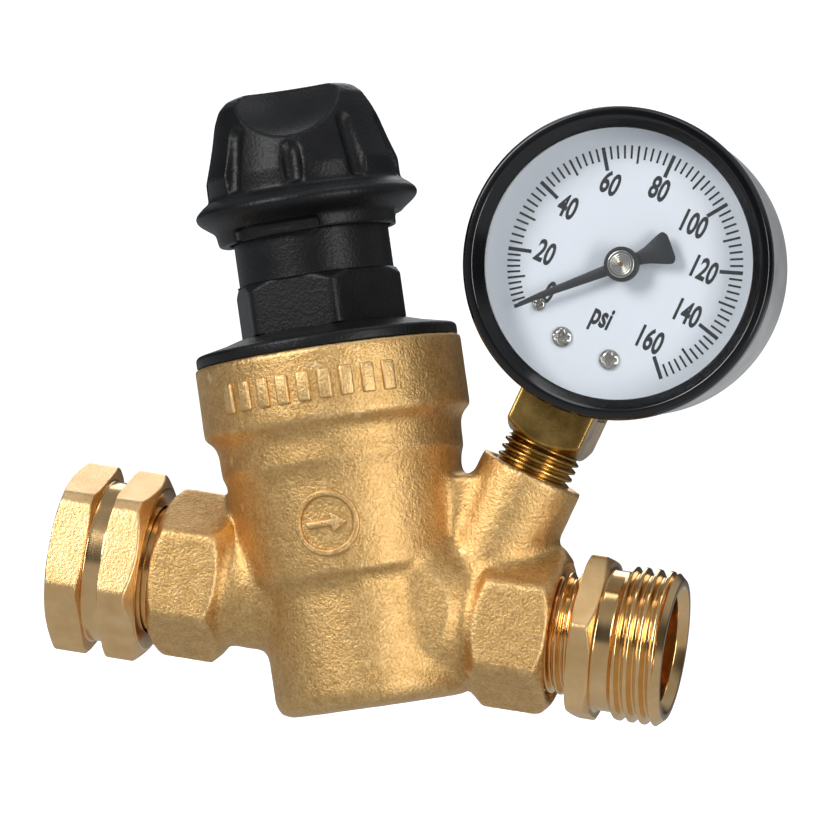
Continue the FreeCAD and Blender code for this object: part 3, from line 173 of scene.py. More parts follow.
@dataclass(frozen=True)
class Finish:
    """What a surface is made of: the base of every finish here."""

    name: str
    colour: str
    roughness: float
    metallic: float = 0.0
    gloss: float = 0.5

    def make(self) -> bpy.types.Material:
        """Build the material.

        Returns:
            The material, with its surface nodes linked to its output.
        """
        material = bpy.data.materials.new(self.name)
        material.use_nodes = True
        tree = material.node_tree
        tree.nodes.clear()
        shader = add_node(tree, "ShaderNodeBsdfPrincipled", {
            "Base Color": linear(self.colour), "Roughness": self.roughness, "Metallic": self.metallic,
            "Specular IOR Level": self.gloss})
        add_node(tree, "ShaderNodeOutputMaterial", links={"Surface": shader.outputs["BSDF"]})
        self.dress(tree, shader)
        material.diffuse_color = linear(self.colour)
        return material

    def dress(self, tree: bpy.types.NodeTree, shader: bpy.types.Node) -> None:
        """Add this finish's pattern.

        Args:
            tree: the material's nodes.
            shader: its Principled shader.
        """

    def spread(self, tree: bpy.types.NodeTree, factor: bpy.types.NodeSocket, low: float, high: float,
               target: bpy.types.NodeSocket) -> None:
        """Drive a number socket between two values.

        Args:
            tree: the material's nodes.
            factor: the pattern, from 0 to 1.
            low: the value at 0.
            high: the value at 1.
            target: the socket to drive.
        """
        span = add_node(tree, "ShaderNodeMapRange", {"To Min": low, "To Max": high}, {"Value": factor})
        tree.links.new(span.outputs["Result"], target)

    def blend(self, tree: bpy.types.NodeTree, factor: bpy.types.NodeSocket,
              stops: Sequence[tuple[float, str]]) -> bpy.types.NodeSocket:
        """Turn a pattern into colours.

        Args:
            tree: the material's nodes.
            factor: the pattern, from 0 to 1.
            stops: where each colour lies, and its hex value.

        Returns:
            The colour socket.
        """
        ramp = add_node(tree, "ShaderNodeValToRGB", links={"Fac": factor})
        band = ramp.color_ramp
        while len(band.elements) < len(stops):
            band.elements.new(0.5)
        for element, (where, colour) in zip(band.elements, stops):
            element.position = where
            element.color = linear(colour)
        return ramp.outputs["Color"]


@dataclass(frozen=True)
class CastBrass(Finish):
    """Sand-cast brass, tumbled: a golden tan, with the sand's grain and soft hollows, brighter on its edges partly from
    wear and partly as a painted highlight, and darker in its inside corners as painted shade.
    """

    light: str = "#F2D49C"
    dark: str = "#B08A4E"
    grain_mm: float = 0.5
    hollow_mm: float = 2.2

    def dress(self, tree: bpy.types.NodeTree, shader: bpy.types.Node) -> None:
        """Add the sand grain and the hollows, lighten the edges partly as wear and partly as a painted highlight, and
        darken the inside corners as painted shade.

        Args:
            tree: the material's nodes.
            shader: its Principled shader.
        """
        where = add_node(tree, "ShaderNodeTexCoord").outputs["Object"]
        grain = add_node(tree, "ShaderNodeTexNoise", {
            "Scale": per_metre(self.grain_mm), "Detail": 3.0, "Roughness": 0.62}, {"Vector": where})
        pits = add_node(tree, "ShaderNodeTexVoronoi", {
            "feature": "SMOOTH_F1", "Scale": per_metre(self.grain_mm * 1.7), "Smoothness": 0.5}, {"Vector": where})
        hollows = add_node(tree, "ShaderNodeTexNoise", {
            "Scale": per_metre(self.hollow_mm), "Detail": 2.0, "Roughness": 0.5}, {"Vector": where})
        # Pointiness drives the base colour. Convex edges come out lighter, partly as wear and partly as a painted
        # highlight. Concave corners come out darker, as painted shade.
        edge = add_node(tree, "ShaderNodeNewGeometry").outputs["Pointiness"]
        edge_wear_and_crease_shade = add_node(tree, "ShaderNodeMapRange", {
            "From Min": 0.44, "From Max": 0.58}, {"Value": edge})
        tone = add_node(tree, "ShaderNodeMix", {"data_type": "FLOAT", "Factor": 0.3}, {
            2: grain.outputs["Fac"], 3: hollows.outputs["Fac"]})
        tone_with_wear_and_shade = add_node(tree, "ShaderNodeMix", {"data_type": "FLOAT", "Factor": 0.3}, {
            2: tone.outputs[0], 3: edge_wear_and_crease_shade.outputs["Result"]})
        tree.links.new(self.blend(tree, tone_with_wear_and_shade.outputs[0], [
            (0.3, self.dark), (0.5, self.colour), (0.68, self.light)]), shader.inputs["Base Color"])
        self.spread(tree, grain.outputs["Fac"], self.roughness - 0.1, self.roughness + 0.12,
                    shader.inputs["Roughness"])
        deep = add_node(tree, "ShaderNodeBump", {"Strength": 0.6, "Distance": 0.12 * MM}, {
            "Height": hollows.outputs["Fac"]})
        pitted = add_node(tree, "ShaderNodeBump", {"Strength": 0.5, "Distance": 0.06 * MM}, {
            "Height": pits.outputs["Distance"], "Normal": deep.outputs["Normal"]})
        sandy = add_node(tree, "ShaderNodeBump", {"Strength": 1.0, "Distance": 0.16 * MM}, {
            "Height": grain.outputs["Fac"], "Normal": pitted.outputs["Normal"]})
        tree.links.new(sandy.outputs["Normal"], shader.inputs["Normal"])


@dataclass(frozen=True)
class Turned(Finish):
    """Metal turned in a lathe or brushed round: fine rings about the axis of a place, and faint stains."""

    place: Place | None = None
    ring_mm: float = 0.22
    ring_depth_mm: float = 0.004
    stain: str = "#B98A45"
    stain_mm: float = 7.0
    stain_share: float = 0.35
    forged_r: float = 0.0
    forged_roughness: float = 0.4
    forged_grain_mm: float = 0.5

    def dress(self, tree: bpy.types.NodeTree, shader: bpy.types.Node) -> None:
        """Add the tool's rings and a slow change of tone.

        Args:
            tree: the material's nodes.
            shader: its Principled shader.
        """
        where = add_node(tree, "ShaderNodeTexCoord").outputs["Object"]
        local = where
        if self.place is not None:
            euler = self.place.turn().to_euler()
            local = add_node(tree, "ShaderNodeMapping", {
                "vector_type": "TEXTURE", "Location": self.place.origin, "Rotation": euler},
                {"Vector": where}).outputs["Vector"]
        parts = add_node(tree, "ShaderNodeSeparateXYZ", links={"Vector": local})
        flat = add_node(tree, "ShaderNodeCombineXYZ", links={"X": parts.outputs["X"], "Y": parts.outputs["Y"]})
        radius = add_node(tree, "ShaderNodeVectorMath", {"operation": "LENGTH"}, {0: flat.outputs["Vector"]})
        ringed = add_node(tree, "ShaderNodeCombineXYZ", links={
            "X": radius.outputs["Value"], "Z": parts.outputs["Z"]})
        rings = add_node(tree, "ShaderNodeTexNoise", {
            "Scale": per_metre(self.ring_mm), "Detail": 3.0, "Roughness": 0.7}, {"Vector": ringed.outputs["Vector"]})
        stains = add_node(tree, "ShaderNodeTexNoise", {
            "Scale": per_metre(self.stain_mm), "Detail": 4.0, "Roughness": 0.55}, {"Vector": where})
        smooth = add_node(tree, "ShaderNodeMapRange", {
            "To Min": self.roughness * 0.75, "To Max": self.roughness * 1.35}, {"Value": rings.outputs["Fac"]})
        share = 0.5 + self.stain_share / 2
        tree.links.new(self.blend(tree, stains.outputs["Fac"], [
            (0.38, self.stain), (share, self.colour), (0.8, self.colour)]), shader.inputs["Base Color"])
        bump = add_node(tree, "ShaderNodeBump", {"Strength": 0.6, "Distance": self.ring_depth_mm * MM}, {
            "Height": rings.outputs["Fac"]})
        if self.forged_r <= 0:
            tree.links.new(smooth.outputs["Result"], shader.inputs["Roughness"])
            tree.links.new(bump.outputs["Normal"], shader.inputs["Normal"])
            return
        grain = add_node(tree, "ShaderNodeTexNoise", {
            "Scale": per_metre(self.forged_grain_mm), "Detail": 3.0, "Roughness": 0.6}, {"Vector": where})
        forged = add_node(tree, "ShaderNodeMapRange", {
            "From Min": self.forged_r * MM, "From Max": (self.forged_r + 0.04) * MM},
            {"Value": radius.outputs["Value"]})
        rough = add_node(tree, "ShaderNodeMix", {"data_type": "FLOAT", 3: self.forged_roughness}, {
            0: forged.outputs["Result"], 2: smooth.outputs["Result"]})
        tree.links.new(rough.outputs[0], shader.inputs["Roughness"])
        height = add_node(tree, "ShaderNodeMath", {"operation": "MULTIPLY"}, {
            0: forged.outputs["Result"], 1: grain.outputs["Fac"]})
        sandy = add_node(tree, "ShaderNodeBump", {"Strength": 0.8, "Distance": 0.1 * MM}, {
            "Height": height.outputs["Value"], "Normal": bump.outputs["Normal"]})
        tree.links.new(sandy.outputs["Normal"], shader.inputs["Normal"])


@dataclass(frozen=True)
class Moulded(Finish):
    """Moulded nylon or rubber: a faint grain from the mould and soft flow marks."""

    lighter: str = "#2B2C2E"
    grain_mm: float = 0.6
    grain_depth_mm: float = 0.11
    cloud_mm: float = 6.0

    def dress(self, tree: bpy.types.NodeTree, shader: bpy.types.Node) -> None:
        """Add the mould's grain and slow changes of gloss.

        Args:
            tree: the material's nodes.
            shader: its Principled shader.
        """
        where = add_node(tree, "ShaderNodeTexCoord").outputs["Object"]
        grain = add_node(tree, "ShaderNodeTexNoise", {
            "Scale": per_metre(self.grain_mm), "Detail": 2.0}, {"Vector": where})
        clouds = add_node(tree, "ShaderNodeTexNoise", {
            "Scale": per_metre(self.cloud_mm), "Detail": 3.0}, {"Vector": where})
        self.spread(tree, clouds.outputs["Fac"], self.roughness - 0.08, self.roughness + 0.08,
                    shader.inputs["Roughness"])
        tree.links.new(self.blend(tree, clouds.outputs["Fac"], [
            (0.35, self.colour), (0.75, self.lighter)]), shader.inputs["Base Color"])
        bump = add_node(tree, "ShaderNodeBump", {"Strength": 0.8, "Distance": self.grain_depth_mm * MM}, {
            "Height": grain.outputs["Fac"]})
        tree.links.new(bump.outputs["Normal"], shader.inputs["Normal"])


@dataclass(frozen=True)
class Enamel(Finish):
    """Stoved paint: smooth, with a slight orange peel under a clear coat."""

    peel_mm: float = 1.4
    peel_depth_mm: float = 0.006
    coat: float = 0.5

    def dress(self, tree: bpy.types.NodeTree, shader: bpy.types.Node) -> None:
        """Add the orange peel and the coat.

        Args:
            tree: the material's nodes.
            shader: its Principled shader.
        """
        where = add_node(tree, "ShaderNodeTexCoord").outputs["Object"]
        peel = add_node(tree, "ShaderNodeTexNoise", {
            "Scale": per_metre(self.peel_mm), "Detail": 2.0}, {"Vector": where})
        bump = add_node(tree, "ShaderNodeBump", {"Strength": 0.5, "Distance": self.peel_depth_mm * MM}, {
            "Height": peel.outputs["Fac"]})
        tree.links.new(bump.outputs["Normal"], shader.inputs["Normal"])
        self.spread(tree, peel.outputs["Fac"], self.roughness * 0.85, self.roughness * 1.15,
                    shader.inputs["Roughness"])
        shader.inputs["Coat Weight"].default_value = self.coat
        shader.inputs["Coat Roughness"].default_value = 0.12


@dataclass(frozen=True)
class Clear(Finish):
    """Clear polycarbonate: nearly unseen, with only its gloss."""

    alpha: float = 0.03

    def dress(self, tree: bpy.types.NodeTree, shader: bpy.types.Node) -> None:
        """Let the light through.

        Args:
            tree: the material's nodes.
            shader: its Principled shader.
        """
        shader.inputs["Alpha"].default_value = self.alpha
        shader.inputs["IOR"].default_value = 1.58
        where = add_node(tree, "ShaderNodeTexCoord").outputs["Object"]
        haze = add_node(tree, "ShaderNodeTexNoise", {"Scale": per_metre(9.0)}, {"Vector": where})
        self.spread(tree, haze.outputs["Fac"], self.roughness, self.roughness + 0.04, shader.inputs["Roughness"])


class Shelf:
    """The finishes by the record's material slots, made once each and kept."""

    def __init__(self) -> None:
        """Name the finish of every slot."""
        brass = "#F5CF98"
        flow, barrel, port, dial = LAYOUT.flow, LAYOUT.barrel, LAYOUT.port, LAYOUT.dial
        self.kinds: dict[str, Finish] = {
            "cast_brass": CastBrass("sand_cast_brass", "#DCB274", 0.44, 1.0),
            "polished_brass": Turned("turned_brass", brass, 0.17, 1.0, place=flow, stain="#D8B376"),
            "nut_brass": Turned("forged_nut_brass", brass, 0.17, 1.0, place=flow, stain="#E2B97E", forged_r=14.5),
            "nipple_brass": Turned("forged_nipple_brass", brass, 0.16, 1.0, place=flow, stain="#E2B97E",
                                   ring_depth_mm=0.002, forged_r=13.53),
            "bright_brass": Turned("machined_brass", brass, 0.22, 1.0, place=barrel, stain="#C99C58"),
            "stem_brass": Turned("turned_brass_stem", "#D9B26A", 0.24, 1.0, place=port, stain="#8F6E35"),
            "black_nylon": Moulded("moulded_nylon", "#0A0A0B", 0.42, gloss=0.3, lighter="#121213"),
            "black_bezel": Enamel("black_stoved_enamel", "#060607", 0.2, gloss=0.4),
            "steel_case": Turned("plated_drawn_steel", "#D6D6D4", 0.38, 0.4, place=dial, ring_mm=0.3,
                                 ring_depth_mm=0.006, stain="#C6C6C4"),
            "stainless": Turned("stainless_steel", "#CFCCC4", 0.22, 1.0, place=dial, ring_mm=0.16, stain="#B9B6AE"),
            "screw_steel": Turned("bright_screw_steel", "#D0CDC4", 0.2, 1.0, place=dial, ring_mm=0.3,
                                  ring_depth_mm=0.002, stain="#B2AEA4"),
            "spring_steel": Turned("spring_steel", "#8F9296", 0.32, 1.0, place=barrel, ring_mm=0.3, stain="#777A7E"),
            "black_rubber": Moulded("black_rubber", "#17181A", 0.7, lighter="#232426"),
            "washer_rubber": Moulded("grey_rubber", "#2A2C2E", 0.75, lighter="#3A3C3F"),
            "clear_window": Clear("clear_polycarbonate", "#DDE4EA", 0.03),
            "white_dial": Enamel("white_dial_enamel", "#E1E7EE", 0.45, coat=0.1),
            "black_pointer": Enamel("black_pointer_paint", "#0B0C0E", 0.4, gloss=0.3, coat=0.0),
            "dial_ink": Enamel("black_printing_ink", "#17181B", 0.6, gloss=0.2, coat=0.0),
            "studio_white": Enamel("backdrop_paint", "#FFFFFF", 0.9, coat=0.0),
        }
        self.made: dict[str, bpy.types.Material] = {}

    def get(self, name: str) -> bpy.types.Material:
        """The material of a slot or a local finish, made the first time that it is asked for."""
        if name not in self.made:
            self.made[name] = self.kinds[name].make()
        return self.made[name]


SHELF = Shelf()


# ---------------------------------------------------------------- turning and shaping


class Corner(NamedTuple):
    """A corner of a turned outline, in millimetres: radius, height, fillet, and the longest piece of the line to it."""

    r: float
    z: float
    fillet: float = 0.0
    step: float = 0.0


def soft_min(a: float, b: float, reach: float) -> float:
    """The smaller of two numbers, with the change from one to the other rounded over reach.

    Args:
        a: one number.
        b: the other.
        reach: how near the two are where the rounding starts.

    Returns:
        The rounded minimum.
    """
    share = min(1.0, max(0.0, 0.5 + 0.5 * (b - a) / reach))
    return b * (1 - share) + a * share - reach * share * (1 - share)


def smooth_step(value: float) -> float:
    """A share from 0 to 1, eased at both ends."""
    value = min(1.0, max(0.0, value))
    return value * value * (3 - 2 * value)


def softened(corners: Sequence[Corner], closed: bool) -> list[Vector]:
    """Round an outline's corners and divide its long lines.

    Args:
        corners: the outline's corners in order.
        closed: whether the last corner joins the first.

    Returns:
        The outline's points, as (r, z).
    """
    count = len(corners)
    points: list[Vector] = []
    for i, corner in enumerate(corners):
        here = Vector((corner.r, corner.z))
        if corner.fillet <= 0 or (not closed and i in (0, count - 1)):
            arc = [here]
        else:
            before, after = corners[i - 1], corners[(i + 1) % count]
            back = Vector((before.r, before.z)) - here
            on = Vector((after.r, after.z)) - here
            opening = back.angle(on)
            reach = min(corner.fillet / math.tan(opening / 2), 0.48 * back.length, 0.48 * on.length)
            radius = reach * math.tan(opening / 2)
            centre = here + (back.normalized() + on.normalized()).normalized() * (radius / math.sin(opening / 2))
            first = here + back.normalized() * reach - centre
            last = here + on.normalized() * reach - centre
            turn = first.angle_signed(last)
            pieces = max(2, math.ceil(abs(turn) / math.radians(14)))
            arc = [centre + Matrix.Rotation(-turn * k / pieces, 2) @ first for k in range(pieces + 1)]
        if corner.step > 0 and points:
            start = points[-1]
            pieces = max(1, math.ceil((arc[0] - start).length / corner.step))
            points += [start.lerp(arc[0], k / pieces) for k in range(1, pieces)]
        points += arc
    return points


def turned(corners: Sequence[Corner], closed: bool = True, steps: int = 192) -> bmesh.types.BMesh:
    """Turn an outline once round z.

    Args:
        corners: the outline's corners, as radius and height.
        closed: whether it is a ring's section; an open one starts and ends on the axis.
        steps: pieces in the full turn.

    Returns:
        The turned mesh, in millimetres.
    """
    mesh = bmesh.new()
    verts = [mesh.verts.new((p.x, 0, p.y)) for p in softened(corners, closed)]
    edges = [mesh.edges.new(pair) for pair in zip(verts, verts[1:])]
    if closed:
        edges.append(mesh.edges.new((verts[-1], verts[0])))
    bmesh.ops.spin(mesh, geom=verts + edges, cent=(0, 0, 0), axis=(0, 0, 1), angle=TURN, steps=steps,
                   use_merge=True, use_duplicate=False)
    bmesh.ops.remove_doubles(mesh, verts=mesh.verts, dist=1e-4)
    bmesh.ops.recalc_face_normals(mesh, faces=mesh.faces)
    return mesh


def mill_flats(mesh: bmesh.types.BMesh, across: float, turn: float, low: float, high: float, count: int = 6,
               rounding: float = 0.5) -> None:
    """Press flats into a turned piece.

    Args:
        mesh: the piece.
        across: the width across the flats.
        turn: the direction of one flat, in degrees.
        low: the lowest height that is milled.
        high: the highest.
        count: the number of flats.
        rounding: how far the edges of the flats are eased.
    """
    half = across / 2
    normals = [Vector((math.cos(a), math.sin(a))) for a in
               (math.radians(turn) + TURN * i / count for i in range(count))]
    for vert in mesh.verts:
        radius = vert.co.xy.length
        if not low <= vert.co.z <= high or radius < half - rounding:
            continue
        way = vert.co.xy / radius
        limit = radius
        for normal in normals:
            facing = way.dot(normal)
            if facing > 0.4:
                limit = soft_min(limit, half / facing, rounding)
        vert.co.xy = way * limit


@dataclass(frozen=True)
class Thread:
    """A right-handed screw thread on a turned piece."""

    crest_r: float
    depth: float
    pitch: float
    low: float
    high: float
    fade: float = 1.2
    inside: bool = False
    crest_share: float = 0.2
    root_share: float = 0.12

    def cut(self, mesh: bmesh.types.BMesh) -> None:
        """Cut the thread into the surface that lies at its crest.

        Args:
            mesh: the piece, with rows about a fifteenth of the pitch apart where the thread goes.
        """
        sign = 1 if self.inside else -1
        for vert in mesh.verts:
            radius = vert.co.xy.length
            if not self.low <= vert.co.z <= self.high or abs(radius - self.crest_r) > 0.15:
                continue
            phase = vert.co.z / self.pitch - math.atan2(vert.co.y, vert.co.x) / TURN
            off_crest = 1 - abs(2 * (phase % 1) - 1)
            slope = (off_crest - self.crest_share) / (1 - self.crest_share - self.root_share)
            share = 0.7 * min(1.0, max(0.0, slope)) + 0.3 * smooth_step(slope)
            ends = min(vert.co.z - self.low, self.high - vert.co.z) / self.fade
            vert.co.xy *= (radius + sign * self.depth * share * smooth_step(ends)) / radius


def joined(*meshes: bmesh.types.BMesh) -> bmesh.types.BMesh:
    """Put several meshes in one.

    Args:
        meshes: the meshes, which are freed.

    Returns:
        A mesh that holds them all as islands.
    """
    whole = bmesh.new()
    for mesh in meshes:
        data = bpy.data.meshes.new("island")
        mesh.to_mesh(data)
        mesh.free()
        whole.from_mesh(data)
        bpy.data.meshes.remove(data)
    return whole


def block(x: tuple[float, float], y: tuple[float, float], z: tuple[float, float],
          rounding: float = 0.3) -> bmesh.types.BMesh:
    """A box with rounded edges.

    Args:
        x: its lowest and highest x.
        y: its lowest and highest y.
        z: its lowest and highest z.
        rounding: the radius of its edges.

    Returns:
        The mesh.
    """
    mesh = bmesh.new()
    bmesh.ops.create_cube(mesh, size=1.0)
    bmesh.ops.scale(mesh, verts=mesh.verts, vec=(x[1] - x[0], y[1] - y[0], z[1] - z[0]))
    bmesh.ops.translate(mesh, verts=mesh.verts, vec=(sum(x) / 2, sum(y) / 2, sum(z) / 2))
    if rounding > 0:
        bmesh.ops.bevel(mesh, geom=mesh.edges, offset=rounding, segments=3, profile=0.5, affect="EDGES",
                        material=-1)
    return mesh


def sheet(outline: Sequence[Corner], low: float, high: float, rounding: float = 0.0) -> bmesh.types.BMesh:
    """A flat piece over a closed outline in x and y.

    Args:
        outline: its corners, with x in r and y in z.
        low: its lowest z.
        high: its highest z.
        rounding: the radius of its upper and lower edges.

    Returns:
        The mesh.
    """
    mesh = bmesh.new()
    verts = [mesh.verts.new((p.x, p.y, low)) for p in softened(outline, True)]
    face = mesh.faces.new(verts)
    raised = bmesh.ops.extrude_face_region(mesh, geom=[face])
    lifted = [g for g in raised["geom"] if isinstance(g, bmesh.types.BMVert)]
    bmesh.ops.translate(mesh, verts=lifted, vec=(0, 0, high - low))
    bmesh.ops.recalc_face_normals(mesh, faces=mesh.faces)
    if rounding > 0:
        rims = [e for e in mesh.edges if abs(e.verts[0].co.z - e.verts[1].co.z) < 1e-6]
        bmesh.ops.bevel(mesh, geom=rims, offset=rounding, segments=2, profile=0.5, affect="EDGES", material=-1)
    return mesh


class Shade(Enum):
    """How a piece's faces meet in the light."""

    SOFT = math.radians(180)
    THREADED = math.radians(62)
    CRISP = math.radians(38)


def show(mesh: bmesh.types.BMesh, name: str, place: Place, body: str, slot: str, finish: str = "",
         replaces: Iterable[str] = (), shade: Shade = Shade.CRISP) -> bpy.types.Object:
    """Turn a drawn mesh into a finished piece of the valve.

    Args:
        mesh: the mesh in millimetres, which is freed.
        name: the piece's name.
        place: the place that it was drawn in.
        body: the body that it rides on.
        slot: the record's material slot.
        finish: the finish on the shelf, where it isn't the slot's own.
        replaces: the frame's nodes that it stands for.
        shade: whether its edges are crisp.

    Returns:
        The piece.
    """
    bmesh.ops.transform(mesh, matrix=place.matrix(), verts=mesh.verts)
    bmesh.ops.recalc_face_normals(mesh, faces=mesh.faces)
    data = bpy.data.meshes.new(name)
    mesh.to_mesh(data)
    mesh.free()
    return present(data, name, body, slot, finish, replaces, shade)


def present(data: bpy.types.Mesh, name: str, body: str, slot: str, finish: str = "",
            replaces: Iterable[str] = (), shade: Shade = Shade.CRISP) -> bpy.types.Object:
    """Put a mesh that is already in place on its body, with its finish.

    Args:
        data: the mesh, in metres in the row frame.
        name: the piece's name.
        body: the body that it rides on.
        slot: the record's material slot.
        finish: the finish on the shelf, where it isn't the slot's own.
        replaces: the frame's nodes that it stands for.
        shade: whether its edges are crisp.

    Returns:
        The piece.
    """
    data.shade_smooth()
    if shade is not Shade.SOFT:
        data.set_sharp_from_angle(angle=shade.value)
    piece = bpy.data.objects.new(name, data)
    bpy.context.scene.collection.objects.link(piece)
    data.materials.clear()
    data.materials.append(SHELF.get(finish or slot))
    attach(piece, body)
    for node in replaces:
        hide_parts(node)
    log.info("%s: %d faces on %s", name, len(data.polygons), body)
    return piece


# ---------------------------------------------------------------- castings and mouldings from the frame


class Moulding:
    """A solid of the frame made again as one soft skin, with its corners filled and its edges eased."""

    def __init__(self, node: str, place: Place, voxel: float) -> None:
        """Wrap a copy of a node's mesh in a new skin.

        Args:
            node: the frame's node.
            place: the place that its features are stated in.
            voxel: the skin's grid, in millimetres.
        """
        self.node = node
        self.place = place
        self.voxel = voxel
        to_place = place.matrix().inverted()
        copy = bmesh.new()
        copy.from_mesh(frame["nodes"][node].data)
        bmesh.ops.transform(copy, matrix=to_place, verts=copy.verts)
        bmesh.ops.remove_doubles(copy, verts=copy.verts, dist=2e-3)
        rough = bpy.data.meshes.new(node + "_rough")
        copy.to_mesh(rough)
        copy.free()
        holder = bpy.data.objects.new(node + "_rough", rough)
        bpy.context.scene.collection.objects.link(holder)
        wrap = holder.modifiers.new("wrap", "REMESH")
        wrap.mode = "VOXEL"
        wrap.voxel_size = voxel
        bpy.context.view_layer.update()
        ready = holder.evaluated_get(bpy.context.evaluated_depsgraph_get())
        self.data = bpy.data.meshes.new_from_object(ready)
        bpy.data.objects.remove(holder)
        bpy.data.meshes.remove(rough)
        self.co = np.zeros(len(self.data.vertices) * 3)
        self.data.vertices.foreach_get("co", self.co)
        self.co = self.co.reshape(-1, 3)
        self.edges = np.zeros(len(self.data.edges) * 2, np.int64)
        self.data.edges.foreach_get("vertices", self.edges)
        self.edges = self.edges.reshape(-1, 2)

    def normals(self) -> np.ndarray:
        """The skin's directions at its points.

        Returns:
            One unit direction per point.
        """
        self.data.vertices.foreach_set("co", self.co.ravel())
        self.data.update()
        found = np.zeros(len(self.co) * 3)
        self.data.vertex_normals.foreach_get("vector", found)
        return found.reshape(-1, 3)

    def pull(self) -> np.ndarray:
        """Which way each point lies from the middle of its neighbours.

        Returns:
            One offset per point.
        """
        a, b = self.edges[:, 0], self.edges[:, 1]
        count = len(self.co)
        degree = np.bincount(a, minlength=count) + np.bincount(b, minlength=count)
        total = np.stack([np.bincount(a, self.co[b, k], count) + np.bincount(b, self.co[a, k], count)
                          for k in range(3)], axis=1)
        return total / np.maximum(degree, 1)[:, None] - self.co

    def fill_corners(self, rounds: int, share: np.ndarray) -> None:
        """Fill the inside corners, as a casting's fillets do, and leave the outside ones.

        Args:
            rounds: how many times the skin is drawn out; the fillet grows with it.
            share: how much each point takes part, from 0 to 1.
        """
        for turn in range(rounds):
            if turn % 8 == 0:
                out = self.normals()
            offset = self.pull()
            rise = np.einsum("ij,ij->i", offset, out)
            weight = np.where(rise > 0, 0.5, 0.0) * share
            self.co += offset * weight[:, None]

    def ease_edges(self, rounds: int) -> None:
        """Round every edge a little.

        Args:
            rounds: how many times; the radius grows with it.
        """
        for _ in range(rounds):
            self.co += 0.5 * self.pull()

    def roughen(self, depth: float, size: float) -> None:
        """Give the skin the slow unevenness of a cast or moulded face.

        Args:
            depth: how deep it is.
            size: how far apart its hollows are.
        """
        out = self.normals()
        lift = np.array([noise.noise(Vector(p) / size) for p in self.co]) * depth
        self.co += out * lift[:, None]

    def show(self, name: str, body: str, slot: str) -> bpy.types.Object:
        """Put the skin in its place as a piece that stands for its node.

        Args:
            name: the piece's name.
            body: the body that it rides on.
            slot: the record's material slot.

        Returns:
            The piece.
        """
        self.data.vertices.foreach_set("co", self.co.ravel())
        self.data.transform(self.place.matrix())
        self.data.update()
        return present(self.data, name, body, slot, replaces=[self.node], shade=Shade.SOFT)


